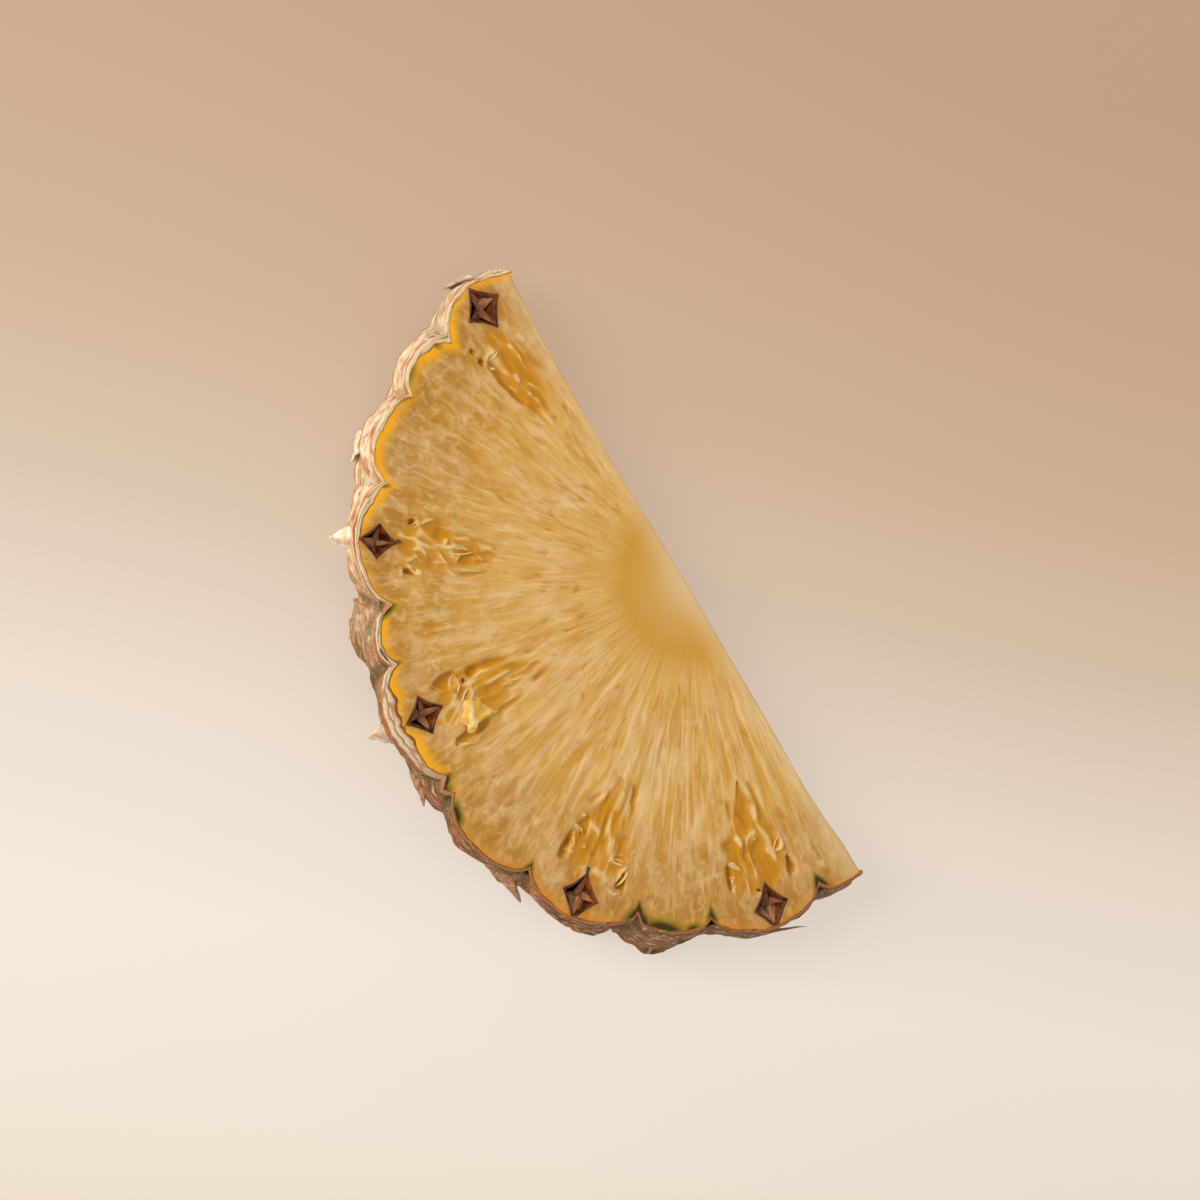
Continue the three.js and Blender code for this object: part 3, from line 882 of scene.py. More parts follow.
# %% Material of the flesh
RAMP_REACH = 64
LOW_SHINE = 0.3
STREAKS = [  # size across, along and through, noise from and to, detail, swirl, strength, colour
    (6.0, 8.0, 9, 0.44, 0.70, 4, 0.6, 0.55, (202, 142, 26)),
    (5.0, 7.5, 8, 0.46, 0.70, 4, 0.6, 0.55, (232, 198, 148)),
    (2.6, 5.0, 4, 0.48, 0.68, 4, 0.6, 0.50, (196, 132, 0)),
    (1.8, 7.0, 3, 0.48, 0.68, 4, 0.6, 0.50, (236, 204, 152)),
    (0.9, 4.5, 2, 0.54, 0.72, 4, 0.6, 0.35, (192, 130, 6)),
    (0.6, 8.0, 1.5, 0.54, 0.72, 2, 0.2, 0.35, (240, 212, 162)),
]
LONG_RAYS = [  # the same for the long streaks of one half of the slice
    (1.6, 22, 6, 0.48, 0.66, 2, 0.2, 0.45, (240, 210, 160)),
    (2.4, 18, 7, 0.50, 0.68, 2, 0.2, 0.45, (200, 138, 8)),
]

look = FleshLook("flesh", 0.36, scatter=0.3, scatter_depth=0.6)
look.inputs["Specular IOR Level"].default_value = LOW_SHINE
look.find_places()
radius = look.radius
look.colour = look.ramp(
    look.times(radius, 1 / RAMP_REACH),
    (0.0, 219, 188, 142), (0.07, 217, 178, 116), (0.13, 213, 165, 82), (0.20, 209, 156, 58),
    (0.27, 216, 170, 84), (0.40, 220, 177, 97), (0.60, 218, 174, 92), (0.70, 208, 159, 70),
    (0.84, 193, 142, 50), (0.94, 180, 126, 40),
)

fibrous = look.times(look.between(radius, 10, 26), look.between(radius, 57, 45, 0.4, 1.0))
in_one_half = look.between(look.turn, 1.3, 1.9, 0.15, 1)
for row in STREAKS + LONG_RAYS:
    across, along, through, low, high, detail, swirl, strength, over = row
    pattern = look.grain(across, along, through, detail, 0.55, swirl)
    share = look.times(look.between(pattern, low, high), fibrous)
    if row in LONG_RAYS:
        share = look.times(share, in_one_half)
    look.lay(share, strength, over)
sparse = look.grain(1.9, 3.4, 3, 1, 0.4)
by_core = look.times(look.between(radius, 12, 20), look.between(radius, 36, 26))
look.lay(look.times(look.between(sparse, 0.64, 0.76), by_core), 0.7, (196, 132, 4))
print("streaks laid:", len(STREAKS + LONG_RAYS))

# %% [markdown]
# Near the rind the fibres are hidden by soft clouds and short pale and dark wisps, and painted
# shade lays a tan veil near the rind on the half of the slice away from the light. Along the
# straight cut the flesh is a little paler.

# %% Clouds near the rind
spots = look.places()
cloud = look.noise(spots, 0.2, 3, 0.5, 0.8)
haze = look.noise(spots, 0.4, 2, 0.5, 0.3)
late = look.painted("late")
wisps = look.grain(0.8, 3.5, 1.5, 3, 0.6, 0.8)
curls = look.noise(spots, 0.5, 1, 0.5, 0.7)
by_rind = look.between(radius, 41, 50)
for pattern, strength, over in (
    (look.between(cloud, 0.48, 0.72), 0.5, (222, 184, 118)),
    (look.between(cloud, 0.50, 0.32), 0.4, (182, 130, 60)),
    (look.between(haze, 0.52, 0.72), 0.3, (230, 196, 138)),
    # painted shade: a tan veil on the far half of the slice, near the rind
    (late, 0.2, (176, 120, 50)),
    (look.between(wisps, 0.53, 0.68), 0.38, (232, 198, 134)),
    (look.between(wisps, 0.47, 0.33), 0.45, (172, 114, 24)),
    (look.between(curls, 0.52, 0.76), 0.35, (236, 208, 156)),
):
    look.lay(look.times(pattern, by_rind), strength, over)
across_cut = look.node("ShaderNodeSeparateXYZ", {0: spots}).outputs["Y"]
look.lay(look.between(across_cut, AXIS_Y + 5.5, AXIS_Y + 0.5), 0.55, (230, 200, 152))

# %% [markdown]
# The painted numbers bring in what has its own place: juice and its folds, creases, the closed
# chambers that shine through, the yellow band under the skin, green and dark stains, and last
# the brown of the pits. A fine bump adds fibres and a wet unevenness.

# %% Juice, stains and pits
STAINS = [  # painted number, range that it is read over, strength, colour
    ("green", 0.08, 0.5, 0.9, (144, 118, 14)), ("green", 0.4, 0.8, 0.95, (50, 42, 4)),
    ("notch", 0.08, 0.4, 0.9, (44, 38, 10)), ("stain", None, None, 0.4, (170, 104, 34)),
    ("hollow", None, None, 0.85, (196, 134, 0)), ("ridge", 0.12, 0.42, 0.7, (234, 202, 144)),
    ("pit_edge", None, None, 0.85, (146, 76, 16)),
]

crest = look.painted("crest")
juicy = look.painted("juicy")
look.lay(juicy, 0.7, (204, 142, 0))
look.lay(look.times(juicy, look.between(crest, 0.7, -0.1)), 0.85, (196, 130, 0))
look.lay(look.times(juicy, look.between(crest, 0.55, 0.9)), 0.65, (240, 210, 152))
look.lay_painted("crease", 0.02, 0.4, 0.75, (190, 126, 0))
look.lay_painted("ghost", 0.1, 1.0, 0.16, (230, 202, 158))
look.lay_painted("ghost", 0.0, -0.7, 0.3, (184, 136, 78))

# on the far half the band is a deeper orange, as painted shade
band = look.blend(late, rgb(250, 178, 0), rgb(220, 142, 20))
mottled = look.between(look.grain(3.5, 3, 4, 3), 0.35, 0.6, 0.8, 1)
look.colour = look.blend(look.times(look.painted("band"), mottled), look.colour, band)
for row in STAINS:
    look.lay_painted(*row)
brown = look.ramp(look.grain(1.2, 2.2, 1.2, 3), (0.35, 44, 16, 4), (0.65, 126, 62, 18))
in_pit = look.between(look.painted("pit"), 0.3, 0.9)
look.colour = look.blend(in_pit, look.colour, brown)

fine, wet = look.grain(0.45, 5, 1, 3), look.grain(0.9, 1.6, 1, 2)
look.bump(look.maths("MULTIPLY_ADD", fine, fibrous, look.times(wet, juicy)), 0.07)
look.give(flesh)

# %% [markdown]
# ## The rind
# The rind is a shell a millimetre thick: leathery and papery outside, with its cut edge showing
# on both faces as a thin pale lip. A grid primitive is wrapped round the fruit. One direction of
# the grid runs along the rim, and the other runs round the shell's own section: down the
# outside, under, up the inside and over the lip. That makes a closed tube of skin in one go,
# and its two ends lie on the straight cut, where they are filled.

# %% Wrap the rind
RIND_THICK = 1.15
RIND_STEPS = 620
RIND_ENDS = (-0.35, 180.4)
LIP_RISE = 0.06
LIP_DROP = 0.3
LIP_CRUMPLE = 0.14
OUTSIDE_STEPS = 34
CLEARANCE = 0.02
FLAKE_HEIGHT = 0.28
WRINKLE_HEIGHT = 0.10
PIMPLE_HEIGHT = 0.05


def bark_height(angle, depth):
    """Papery wrinkles that run along the rim."""
    along = arc_length(angle)
    sway = 1.5 * soft_noise(along / 7, depth / 4, 0, 40)
    flakes = 1 - 2 * np.abs(soft_noise(along / 4.5, (depth + sway) / 1.3, 0, 41))
    wrinkles = soft_noise(along / 1.6, (depth + sway) / 0.5, 0, 42)
    pimples = soft_noise(along / 0.6, depth / 0.6, 0, 43)
    return FLAKE_HEIGHT * flakes + WRINKLE_HEIGHT * wrinkles + PIMPLE_HEIGHT * pimples


def ring_of_rind():
    """The shell's section, as (how far in from the skin, depth), all the way round."""
    outside = [(0, down) for down in np.linspace(LIP_DROP, THICKNESS - 0.35, OUTSIDE_STEPS)]
    under = [
        (0.25, THICKNESS - 0.05), (0.7, THICKNESS - CLEARANCE),
        (RIND_THICK, THICKNESS - CLEARANCE),
    ]
    inside = [(RIND_THICK, down) for down in (9.0, 6.0, 3.0, 0.8, 0.1)]
    lip = [(inward, -LIP_RISE) for inward in (1.0, 0.8, 0.55, 0.3)] + [(0.1, 0.02)]
    return np.array(outside + under + inside + lip)


section = ring_of_rind()
rind, u, v = add_grid(RIND_STEPS, len(section))
rind.name = "rind"
column = np.rint((u + 1) / 2 * RIND_STEPS).astype(int)
row = np.rint((v + 1) / 2 * len(section)).astype(int) % len(section)
angle = np.interp(column, (0, RIND_STEPS), RIND_ENDS)
inward, depth = section[row].T
near_face = smooth_step(depth, *NEAR_FACE)
widened = inward * (1 + near_face * (lip_width(angle) / RIND_THICK - 1))
bark = smooth_step(inward, 0.1, 0.0) * bark_height(angle, depth)
radius = skin_radius(angle, np.clip(depth, 0, THICKNESS)) - widened + bark
on_lip = near_face * smooth_step(inward, 0.0, 0.3) * smooth_step(inward, RIND_THICK, 0.8)
crumpled = soft_noise(arc_length(angle) / 1.3, widened / 0.7, 0, 46)
points = in_space(angle, radius, depth - LIP_CRUMPLE * on_lip * crumpled)
offset = np.interp(points[:, 0] - AXIS_X, *CUT_LINE.T)
points[:, 1] += offset * np.exp(-np.clip(points[:, 1] - AXIS_Y, 0, None) / CUT_FADE)
points[:, 2] = np.clip(points[:, 2], CLEARANCE, None)
set_points(rind, points)
edit_all()
bpy.ops.mesh.remove_doubles(threshold=0.001 * MM)
bpy.ops.mesh.select_mode(type="EDGE")
bpy.ops.mesh.select_all(action="DESELECT")
bpy.ops.mesh.select_non_manifold()
bpy.ops.mesh.fill()
object_mode()
face_outwards()
finish_piece(rind)

# %% [markdown]
# The rind isn't one colour. Outside, it is dry and straw-coloured towards the +X end, which
# ripened first, and browner towards the other, with olive patches and dark valleys, and painted
# shade darkens a few hollows under bracts. At the cut, the lip is cream with an orange-brown line
# against the flesh.
# In the middle of the rim it has fine brown ribs, and in the half that browned it is old and
# tan.

# %% Paint the rind
HOLLOW_SHADE_SPOTS = [  # angle, depth, half length and half height of a hollow behind a bract, painted as shade
    (36.6, 6.6, 1.8, 1.5), (143.5, 8.6, 2.4, 1.5), (117.0, 6.4, 1.6, 0.9), (91.6, 6.6, 1.6, 1.0),
]
BROWNED = (44, 82)
DRIED = (80, 98)
RIBBED = (40, 48)
RIBBED_NO_MORE = (92, 84)
VALLEY_SPREAD = 2.2


def paint_skin(thing):
    """Paints what a piece of skin needs to know: its tone, its valleys, its place, and painted
    shade in the hollows behind bracts.
    """
    angle, radius, depth = in_fruit(get_points(thing))
    depth = np.clip(depth, 0, THICKNESS)
    inward = skin_radius(angle, depth) - radius
    burnt = np.zeros(len(angle))
    for middle, deep, half_length, half_height in HOLLOW_SHADE_SPOTS:
        reach = np.hypot(arc_length(angle - middle) / half_length, (depth - deep) / half_height)
        burnt = np.maximum(burnt, smooth_step(reach, 1.1, 0.8))
    paint(
        thing,
        lip_share=inward / lip_width(angle),
        inward=inward,
        along=arc_length(angle),
        depth=depth,
        browned=smooth_step(angle, *BROWNED),
        dried=smooth_step(angle, *DRIED),
        ribbed=smooth_step(angle, *RIBBED) * smooth_step(angle, *RIBBED_NO_MORE),
        burnt=burnt,
        valley=np.exp(-nearest_eyes(angle, depth)[2] / VALLEY_SPREAD),
    )


paint_skin(rind)

# %% Material of the rind
class RindLook(Look):
    """A look that also knows places along the rim, for marks that run with it."""

    def marks(self, long, tall, detail, roughness=0.5, distortion=0.0):
        """Noise whose marks are this many millimetres long and tall."""
        vector = self.triple(
            self.times(self.painted("along"), 1 / long),
            self.times(self.painted("depth"), 1 / tall),
            self.times(self.painted("inward"), 1 / tall),
        )
        return self.noise(vector, 1, detail, roughness, distortion)

    def lay_edge(self, browned):
        """A scale's raised edge is darker, with a last light line, and painted shade
        darkens its foot, tucked under the row above.
        """
        edge = self.painted("edge")
        # painted shade at the foot, under the lifted edge of the row above
        self.lay(self.between(edge, -0.2, -0.8), 0.75, (92, 56, 28))
        rim = self.blend(browned, rgb(184, 106, 46), rgb(122, 70, 32))
        self.colour = self.blend(self.between(edge, 0.72, 0.84, 0, 0.9), self.colour, rim)
        self.lay(self.between(edge, 0.91, 0.98), 0.7, (230, 196, 146))

    def lay_lip(self, dried, rust, cracks):
        """The rind's cut edge: plain, ribbed or old, by how far in a point is."""
        outside = self.colour
        wander = self.maths("SUBTRACT", self.marks(2.2, 9, 3, 0.6), 0.5)
        share = self.maths("MULTIPLY_ADD", wander, 0.5, self.painted("lip_share"))
        plain = self.ramp(
            share, (0.0, 206, 140, 78), (0.14, 240, 220, 190), (0.70, 238, 212, 168),
            (0.86, 206, 138, 62), (1.0, 196, 116, 26),
        )
        ribs = self.ramp(
            share, (0.02, 176, 104, 52), (0.12, 238, 216, 182), (0.30, 228, 200, 160),
            (0.38, 146, 88, 42), (0.46, 240, 220, 188), (0.68, 230, 196, 148),
            (0.84, 124, 74, 30), (1.0, 190, 118, 24),
        )
        old = self.ramp(
            share, (0.0, 116, 74, 38), (0.35, 176, 126, 76), (0.6, 150, 84, 32),
            (1.0, 178, 100, 22),
        )
        fresh = self.blend(self.painted("ribbed"), plain, ribs)
        self.colour = self.blend(dried, fresh, old)
        self.lay(self.between(rust, 0.54, 0.62), 0.75, (200, 120, 50))
        self.lay(self.between(cracks, 0.40, 0.32), 0.6, (120, 74, 34))
        on_lip = self.between(self.painted("depth"), 0.45, 0.2)
        self.colour = self.blend(on_lip, outside, self.colour)


def make_rind_look(name, edged):
    look = RindLook(name, 0.7, scatter=0.12, scatter_depth=0.6)
    browned = look.painted("browned")
    dried = look.painted("dried")
    paper = look.marks(2.4, 0.8, 6, 0.7)
    patches = look.marks(5.5, 2.6, 2)
    rust = look.marks(3.5, 0.9, 4, 0.6)
    flecks = look.marks(1.5, 0.55, 5, 0.7)
    cracks = look.marks(1.6, 0.45, 4, 0.65, 0.4)

    straw = look.ramp(paper, (0.30, 164, 92, 36), (0.42, 220, 176, 124), (0.56, 248, 230, 202))
    brown = look.ramp(
        paper, (0.36, 54, 26, 8), (0.47, 112, 66, 28), (0.57, 160, 108, 58), (0.68, 224, 186, 138),
    )
    look.colour = look.blend(browned, straw, brown)
    look.lay(look.between(patches, 0.50, 0.36), 0.6, (164, 108, 58))
    by_tone = look.between(browned, 0.1, 0.6, 0.0, 0.85)
    olive = look.times(look.between(patches, 0.46, 0.58), by_tone)
    look.lay(look.times(olive, look.between(dried, 0, 1, 1, 0.35)), 1.0, (112, 96, 48))
    look.lay(look.between(rust, 0.56, 0.62), 0.8, (176, 96, 38))
    by_tone = look.between(browned, 0.0, 1.0, 0.3, 0.75)
    look.lay(look.times(look.between(flecks, 0.56, 0.64), by_tone), 1.0, (230, 208, 176))
    by_tone = look.between(browned, 0.0, 0.5, 0.35, 0.8)
    valley = look.between(look.painted("valley"), 0.45, 0.95)
    look.lay(look.times(valley, by_tone), 1.0, (98, 76, 34))
    look.lay(look.between(cracks, 0.38, 0.31), 0.8, (70, 38, 16))
    look.lay_painted("depth", 9.4, 10.8, 0.6, (164, 96, 42))
    # painted shade in the hollows behind some bracts
    look.lay_painted("burnt", None, None, 0.9, (58, 38, 26))
    if edged:
        look.lay_edge(browned)
    else:
        look.lay_lip(dried, rust, cracks)
    pores = look.noise(look.places(), 3.2, 4, 0.65)
    look.bump(look.maths("MULTIPLY_ADD", pores, 0.5, paper), 0.6, 0.7)
    return look


make_rind_look("rind", edged=False).give(rind)

# %% [markdown]
# ## Papery scales
# Dry scales overlap on the rind in three rows, like thin bark. Each is a strip that runs along
# the rim: a small grid, rounded off at its ends and laid on the skin's formula. Its lower edge
# is lifted and waved, so that it laps over the next row and throws a thin shadow. Solidify gives
# it the thickness of stiff paper, and bisect trims what would stand past a cut face, as the
# knife did.

# %% Scales
SCALE_GRID = (26, 9)
SCALE_THICK = 0.22
SCALE_ROWS = [  # depth, spacing along the rim, shift, length, height, lift
    (2.5, 13.0, 0.0, 17.0, 4.6, 0.8), (6.2, 13.6, 6.5, 17.0, 5.4, 1.1),
    (10.0, 13.2, 2.5, 16.0, 5.0, 1.0),
]
TRIMS = [  # a place in millimetres, and the direction in which all is cut off beyond it
    ((0, 0, THICKNESS + 0.1), (0, 0, 1)), ((0, 0, CLEARANCE), (0, 0, -1)),
    ((0, AXIS_Y + 0.2, 0), (0, -1, 0)),
]
STRAY = np.array([1.6, 0.5, 0.2, 0.15, 0.35, 1.5])  # place, depth, length, height, lift, tilt
draws = np.random.default_rng(7)


def make_scale(middle, depth, length, height, lift, tilt, seed):
    scale, u, v = add_grid(*SCALE_GRID)
    taper = np.clip(1 - np.abs(u) ** 2.6, 0, None) ** 0.7
    ragged = 1 + 0.16 * soft_noise(u * 3, 0 * v, seed, 50)
    along = middle + u * length / 2
    down = depth + tilt * u + v * height / 2 * taper * ragged
    wave = soft_noise(along / 2.6, v, seed, 51)
    raised = lift * smooth_step(v, -0.4, 1.0) * taper * (0.8 + 0.5 * wave)
    raised += 0.12 * soft_noise(along / 0.9, v * 2, seed, 52) - 0.7 * smooth_step(v, -0.4, -1.0)
    angle = np.degrees(along / SKIN_RADIUS)
    skin = skin_radius(angle, np.clip(down, 0, THICKNESS))
    smooth_skin = np.maximum(skin, skin.mean() - 0.6)
    radius = 0.4 * skin + 0.6 * smooth_skin + 0.12 + raised
    set_points(scale, in_space(angle, radius, down))
    paint(scale, edge=np.maximum(v, np.abs(u) ** 4))
    thicken(scale, SCALE_THICK)
    return scale


def trim_to_slice(thing):
    """Cuts off what stands past a cut face or the straight cut, and closes the piece."""
    pick(thing)
    for place, direction in TRIMS:
        edit_all()
        bpy.ops.mesh.bisect(
            plane_co=[part * MM for part in place], plane_no=direction, use_fill=True,
            clear_outer=True,
        )
        object_mode()


scale_list = []
for depth, spacing, shift, length, height, lift in SCALE_ROWS:
    for middle in np.arange(shift - 4, arc_length(184), spacing):
        stray = STRAY * draws.uniform(-1, 1, 6)
        scale_list.append(make_scale(
            middle + stray[0], depth + stray[1], length * (1 + stray[2]),
            height * (1 + stray[3]), lift * (1 + stray[4]), stray[5], len(scale_list),
        ))
scales = join_pieces(scale_list, "scales")
trim_to_slice(scales)
paint_skin(scales)
finish_piece(scales, smooth_angle=50)
make_rind_look("scales", edged=True).give(scales)

# %% [markdown]
# ## Bracts
# Every eye has a dry bract over it, a flattened thorn that lies along the rim or stands up.
# There are nine that stand clear of the skin, on the same eyes as on the CAD solid, and drawn
# more exactly here: a cone primitive, flattened, keeled and curled at its tip. Two of them
# arch over a dark hollow, and painted shade darkens their inner side.

# %% Bracts
BRACT_ROOT = 1.4
BRACT_CURL = 0.06
BRACT_SIDES = 20
BRACT_RINGS = 14
BRACT_TIP = 0.06
KEEL = 0.28
RIPPLE = 0.10
BRACTS = [  # angle, depth, length, width, thickness, lift, lean, paleness, painted shade inside
    (6.8, 2.8, 4.0, 5.2, 2.6, 22, 4, 0.5, 1), (34.8, 8.4, 3.9, 5.2, 4.6, 17, 6, 0.9, 1),
    (50.2, 3.0, 3.4, 4.0, 5.8, 84, 30, 1.0, 0), (60.8, 8.2, 5.4, 4.4, 3.4, 26, 8, 0.15, 0),
    (79.8, 3.2, 3.4, 3.8, 5.4, 104, 20, 0.75, 0), (90.5, 8.0, 5.2, 3.8, 2.4, 20, 6, 0.1, 0),
    (112.8, 6.6, 6.4, 6.0, 3.0, 18, 10, 0.1, 0), (142.5, 7.8, 1.8, 6.0, 4.0, 76, 10, 0.1, 0),
    (160.5, 2.2, 9.6, 1.8, 1.0, 6, 0, 0.2, 0),
]


def make_bract(number, angle, depth, length, width, thickness, lift, lean, paleness, burnt):
    turn, rise, swing = np.radians([angle, lift, lean])
    outward = np.array([math.cos(turn), math.sin(turn), 0])
    along_rim = np.array([-math.sin(turn), math.cos(turn), 0])
    along_skin = along_rim * math.cos(swing) + np.array([0, 0, -1]) * math.sin(swing)
    tipward = along_skin * math.cos(rise) + outward * math.sin(rise)
    across = np.cross(tipward, outward)
    across /= np.linalg.norm(across)
    upward = np.cross(across, tipward)

    deselect()
    bpy.ops.mesh.primitive_cone_add(
        vertices=BRACT_SIDES, radius1=MM, radius2=BRACT_TIP * MM, depth=MM,
    )
    bract = bpy.context.object
    heights = get_points(bract)[:, 2][take(bract.data.edges, "vertices", 2, int)]
    select_where(bract, "edges", np.abs(heights[:, 0] - heights[:, 1]) > 0.5)
    bpy.ops.mesh.subdivide(number_cuts=BRACT_RINGS)
    object_mode()

    x, y, z = get_points(bract).T
    share = z + 0.5
    keel = KEEL * np.abs(y) * thickness
    ripple = RIPPLE * soft_noise(y * 4, share * 5, number, 60)
    up = (0.5 * x * (1 - 0.5 * np.abs(y)) + ripple) * thickness + keel * (1 - share)
    up += BRACT_CURL * length * share**2
    side = 0.5 * y * width * (1 + 0.25 * np.sin(math.pi * share))
    reach = share * (length + BRACT_ROOT) - BRACT_ROOT
    foot = in_space(angle, skin_radius(np.array([angle]), np.array([depth])), depth)[0]
    points = foot + np.outer(up, upward) + np.outer(reach, tipward) - np.outer(side, across)
    set_points(bract, points)
    # the bract's inner side, where painted shade goes on the two that arch over a hollow
    outer = x / np.maximum(1 - (1 - BRACT_TIP) * share, BRACT_TIP)
    under = smooth_step(outer, 0.5, 0.2) * smooth_step(share, 0.05, 0.2)
    under *= smooth_step(share, 0.9, 0.75)
    sideways = np.abs(y) / np.maximum(np.hypot(x, y), 0.05)
    paint(bract, pale=np.full(len(x), paleness), edge=sideways, burnt=burnt * under)
    apply_modifier(bract, "SUBSURF", levels=1, render_levels=1)
    return bract


bracts = join_pieces([make_bract(number, *size) for number, size in enumerate(BRACTS)], "bracts")
face_outwards()
trim_to_slice(bracts)
finish_piece(bracts)

look = Look("bracts", 0.65, scatter=0.2, scatter_depth=0.8)
spots = look.places()
mottled = look.noise(spots, 1.4, 4, 0.6)
dry = look.ramp(mottled, (0.32, 70, 40, 20), (0.52, 148, 98, 54), (0.72, 204, 160, 108))
pale = look.ramp(mottled, (0.3, 224, 184, 122), (0.6, 252, 244, 224))
look.colour = look.blend(look.painted("pale"), dry, pale)
side = look.between(look.painted("edge"), 0.75, 1.0, 0, 0.5)
look.colour = look.blend(side, look.colour, rgb(170, 98, 46))
# painted shade on the inner side of the bracts that arch over a hollow
look.lay_painted("burnt", None, None, 0.9, (66, 40, 24))
look.bump(look.noise(spots, 4, 3, 0.6), 0.15, 0.7)
look.give(bracts)

# %% [markdown]
# ## Sepals in the pits
# Inside each opened pit lie the dried sepals of the flower: brown papery leaves. One or two
# start at the pit's point by the rind, and one at most of its other points, and all reach
# inwards. Each is a strip folded along its middle that widens away from its root and sinks
# towards the pit's floor, solidified to a paper's thickness.

# %% Sepals
SEPAL_GRID = (14, 8)
SEPAL_THICK = 0.12
SEPAL_DEPTH = 0.45
SEPAL_SINKS = 1.7
SEPALS = [  # pit number, root, tip, spread, tone; places are shares of the pit
    (0, -0.80, 0.05, 0.10, 0.10, 0.75, 0.75), (0, 0.05, 0.86, -0.15, -0.15, 0.60, 0.50),
    (0, 0.80, 0.00, 0.05, -0.20, 0.60, 0.10), (0, 0.0, -0.82, 0.10, 0.10, 0.55, 0.20),
    (1, -0.80, 0.00, 0.10, -0.10, 0.70, 0.30), (1, 0.0, 0.84, 0.15, -0.20, 0.85, 0.90),
    (1, 0.0, -0.85, 0.10, 0.10, 0.50, 0.55), (1, 0.80, 0.05, 0.00, 0.05, 0.45, 0.10),
    (2, 0.0, 0.84, -0.25, -0.10, 0.60, 0.45), (2, -0.80, 0.00, 0.05, -0.25, 0.60, 0.55),
    (2, 0.0, -0.84, -0.05, 0.20, 0.60, 0.35), (2, 0.82, 0.0, 0.05, 0.00, 0.60, 0.50),
    (3, 0.05, 0.86, -0.50, 0.00, 0.80, 1.00), (3, 0.0, 0.86, 0.30, -0.10, 0.85, 0.95),
    (3, 0.0, -0.85, 0.10, 0.05, 0.60, 0.25), (3, 0.82, 0.0, 0.15, -0.15, 0.55, 0.60),
    (4, 0.0, 0.86, -0.55, 0.05, 0.80, 1.00), (4, 0.05, 0.86, 0.35, 0.00, 0.85, 0.90),
    (4, 0.0, -0.85, 0.0, 0.10, 0.60, 0.15), (4, 0.84, 0.0, 0.10, -0.20, 0.50, 0.40),
]


def make_sepal(number, pit, root_x, root_y, tip_x, tip_y, spread, tone):
    angle, radius, half_width, half_height = PITS[pit]
    sepal, u, v = add_grid(*SEPAL_GRID)
    share = (u + 1) / 2
    root = np.array([root_x * half_width, root_y * half_height])
    tip = np.array([tip_x * half_width, tip_y * half_height])
    run = tip - root
    side = np.array([-run[1], run[0]]) / np.linalg.norm(run)
    half = spread * (0.1 + 0.9 * share**0.8) * half_width * 0.5
    aside = root[0] + run[0] * share + side[0] * v * half
    outward = root[1] + run[1] * share + side[1] * v * half
    fold = 0.4 * half * (1 - np.abs(v))
    crumple = 0.15 * soft_noise(share * 4, v * 1.5, number, 70)
    depth = SEPAL_DEPTH + SEPAL_SINKS * share - fold + crumple
    set_points(sepal, bent_round(angle, radius, outward, aside, depth))
    paint(sepal, across=v, share=share, tone=np.full(len(v), tone))
    thicken(sepal, SEPAL_THICK)
    return sepal


sepals = join_pieces([make_sepal(number, *size) for number, size in enumerate(SEPALS)], "sepals")
finish_piece(sepals, smooth_angle=60)

look = Look("sepals", 0.6, scatter=0.15, scatter_depth=0.6)
across, share = look.painted("across"), look.painted("share")
stripes = look.triple(look.times(across, 7.0), look.times(share, 2.0))
stripe = look.noise(stripes, 1, 3)
dark = look.ramp(stripe, (0.34, 54, 20, 6), (0.5, 120, 58, 20), (0.68, 196, 110, 44))
pale = look.ramp(stripe, (0.34, 92, 48, 24), (0.5, 170, 112, 66), (0.68, 218, 166, 112))
look.colour = look.blend(look.painted("tone"), dark, pale)
look.lay(look.between(look.maths("ABSOLUTE", across), 0.75, 1.0), 0.7, (52, 24, 12))
look.lay(look.between(share, 0.75, 1.0), 0.7, (44, 20, 10))
look.bump(look.noise(stripes, 1.5, 3), 0.12, 0.8)
look.give(sepals)

# %% [markdown]
# ## Torn membranes
# The chambers are lined with thin pale skin, and the knife left flaps and strips of it. Each
# is a strip with its own length, width, turn and curl. The largest one is a crumpled rag of
# flesh, over a chamber to one side of the middle: a round sheet with a ragged outline of its
# own.

# %% Membranes
MEMBRANE_GRID = (18, 6)
MEMBRANE_THICK = 0.1
MEMBRANES = [  # angle, radius, turn from the spoke, length, width, lift, curl
    (11.8, 53.4, 88, 3.8, 0.5, 0.5, 0.4), (13.2, 51.9, 30, 1.4, 0.7, 0.5, 0.6),
    (45.7, 53.7, 60, 2.0, 0.5, 0.5, 0.8), (49.9, 44.8, 4, 6.6, 0.45, 0.55, 0.4),
    (48.0, 44.9, -10, 3.4, 0.5, 0.5, 0.9), (54.4, 52.4, -26, 4.3, 1.1, 0.8, 0.2),
    (51.8, 52.0, -40, 3.4, 0.7, 0.6, 0.5), (76.8, 48.5, 84, 3.9, 0.4, 0.5, 0.9),
    (80.2, 47.2, 40, 3.8, 0.4, 0.45, -0.9), (118.8, 51.1, 70, 2.1, 0.4, 0.5, 0.3),
    (118.5, 47.2, 68, 2.7, 0.45, 0.5, 0.5), (118.4, 44.8, 50, 1.3, 0.4, 0.5, 0.3),
    (129.6, 49.9, 86, 3.6, 0.45, 0.55, 0.5), (131.2, 52.0, -22, 4.2, 0.6, 0.6, 0.4),
    (158.4, 46.6, 14, 3.4, 0.9, 0.7, 0.4), (167.6, 48.8, 130, 3.4, 0.9, 0.8, 0.7),
    (156.4, 50.4, 48, 3.8, 0.8, 0.6, 0.3), (155.2, 52.6, 10, 1.4, 0.5, 0.4, 0.6),
]
RAG_THICK = 0.25
RAG_GRID = (72, 14)
RAG_ANGLE = 84.5
RAG_RADIUS = 47.1
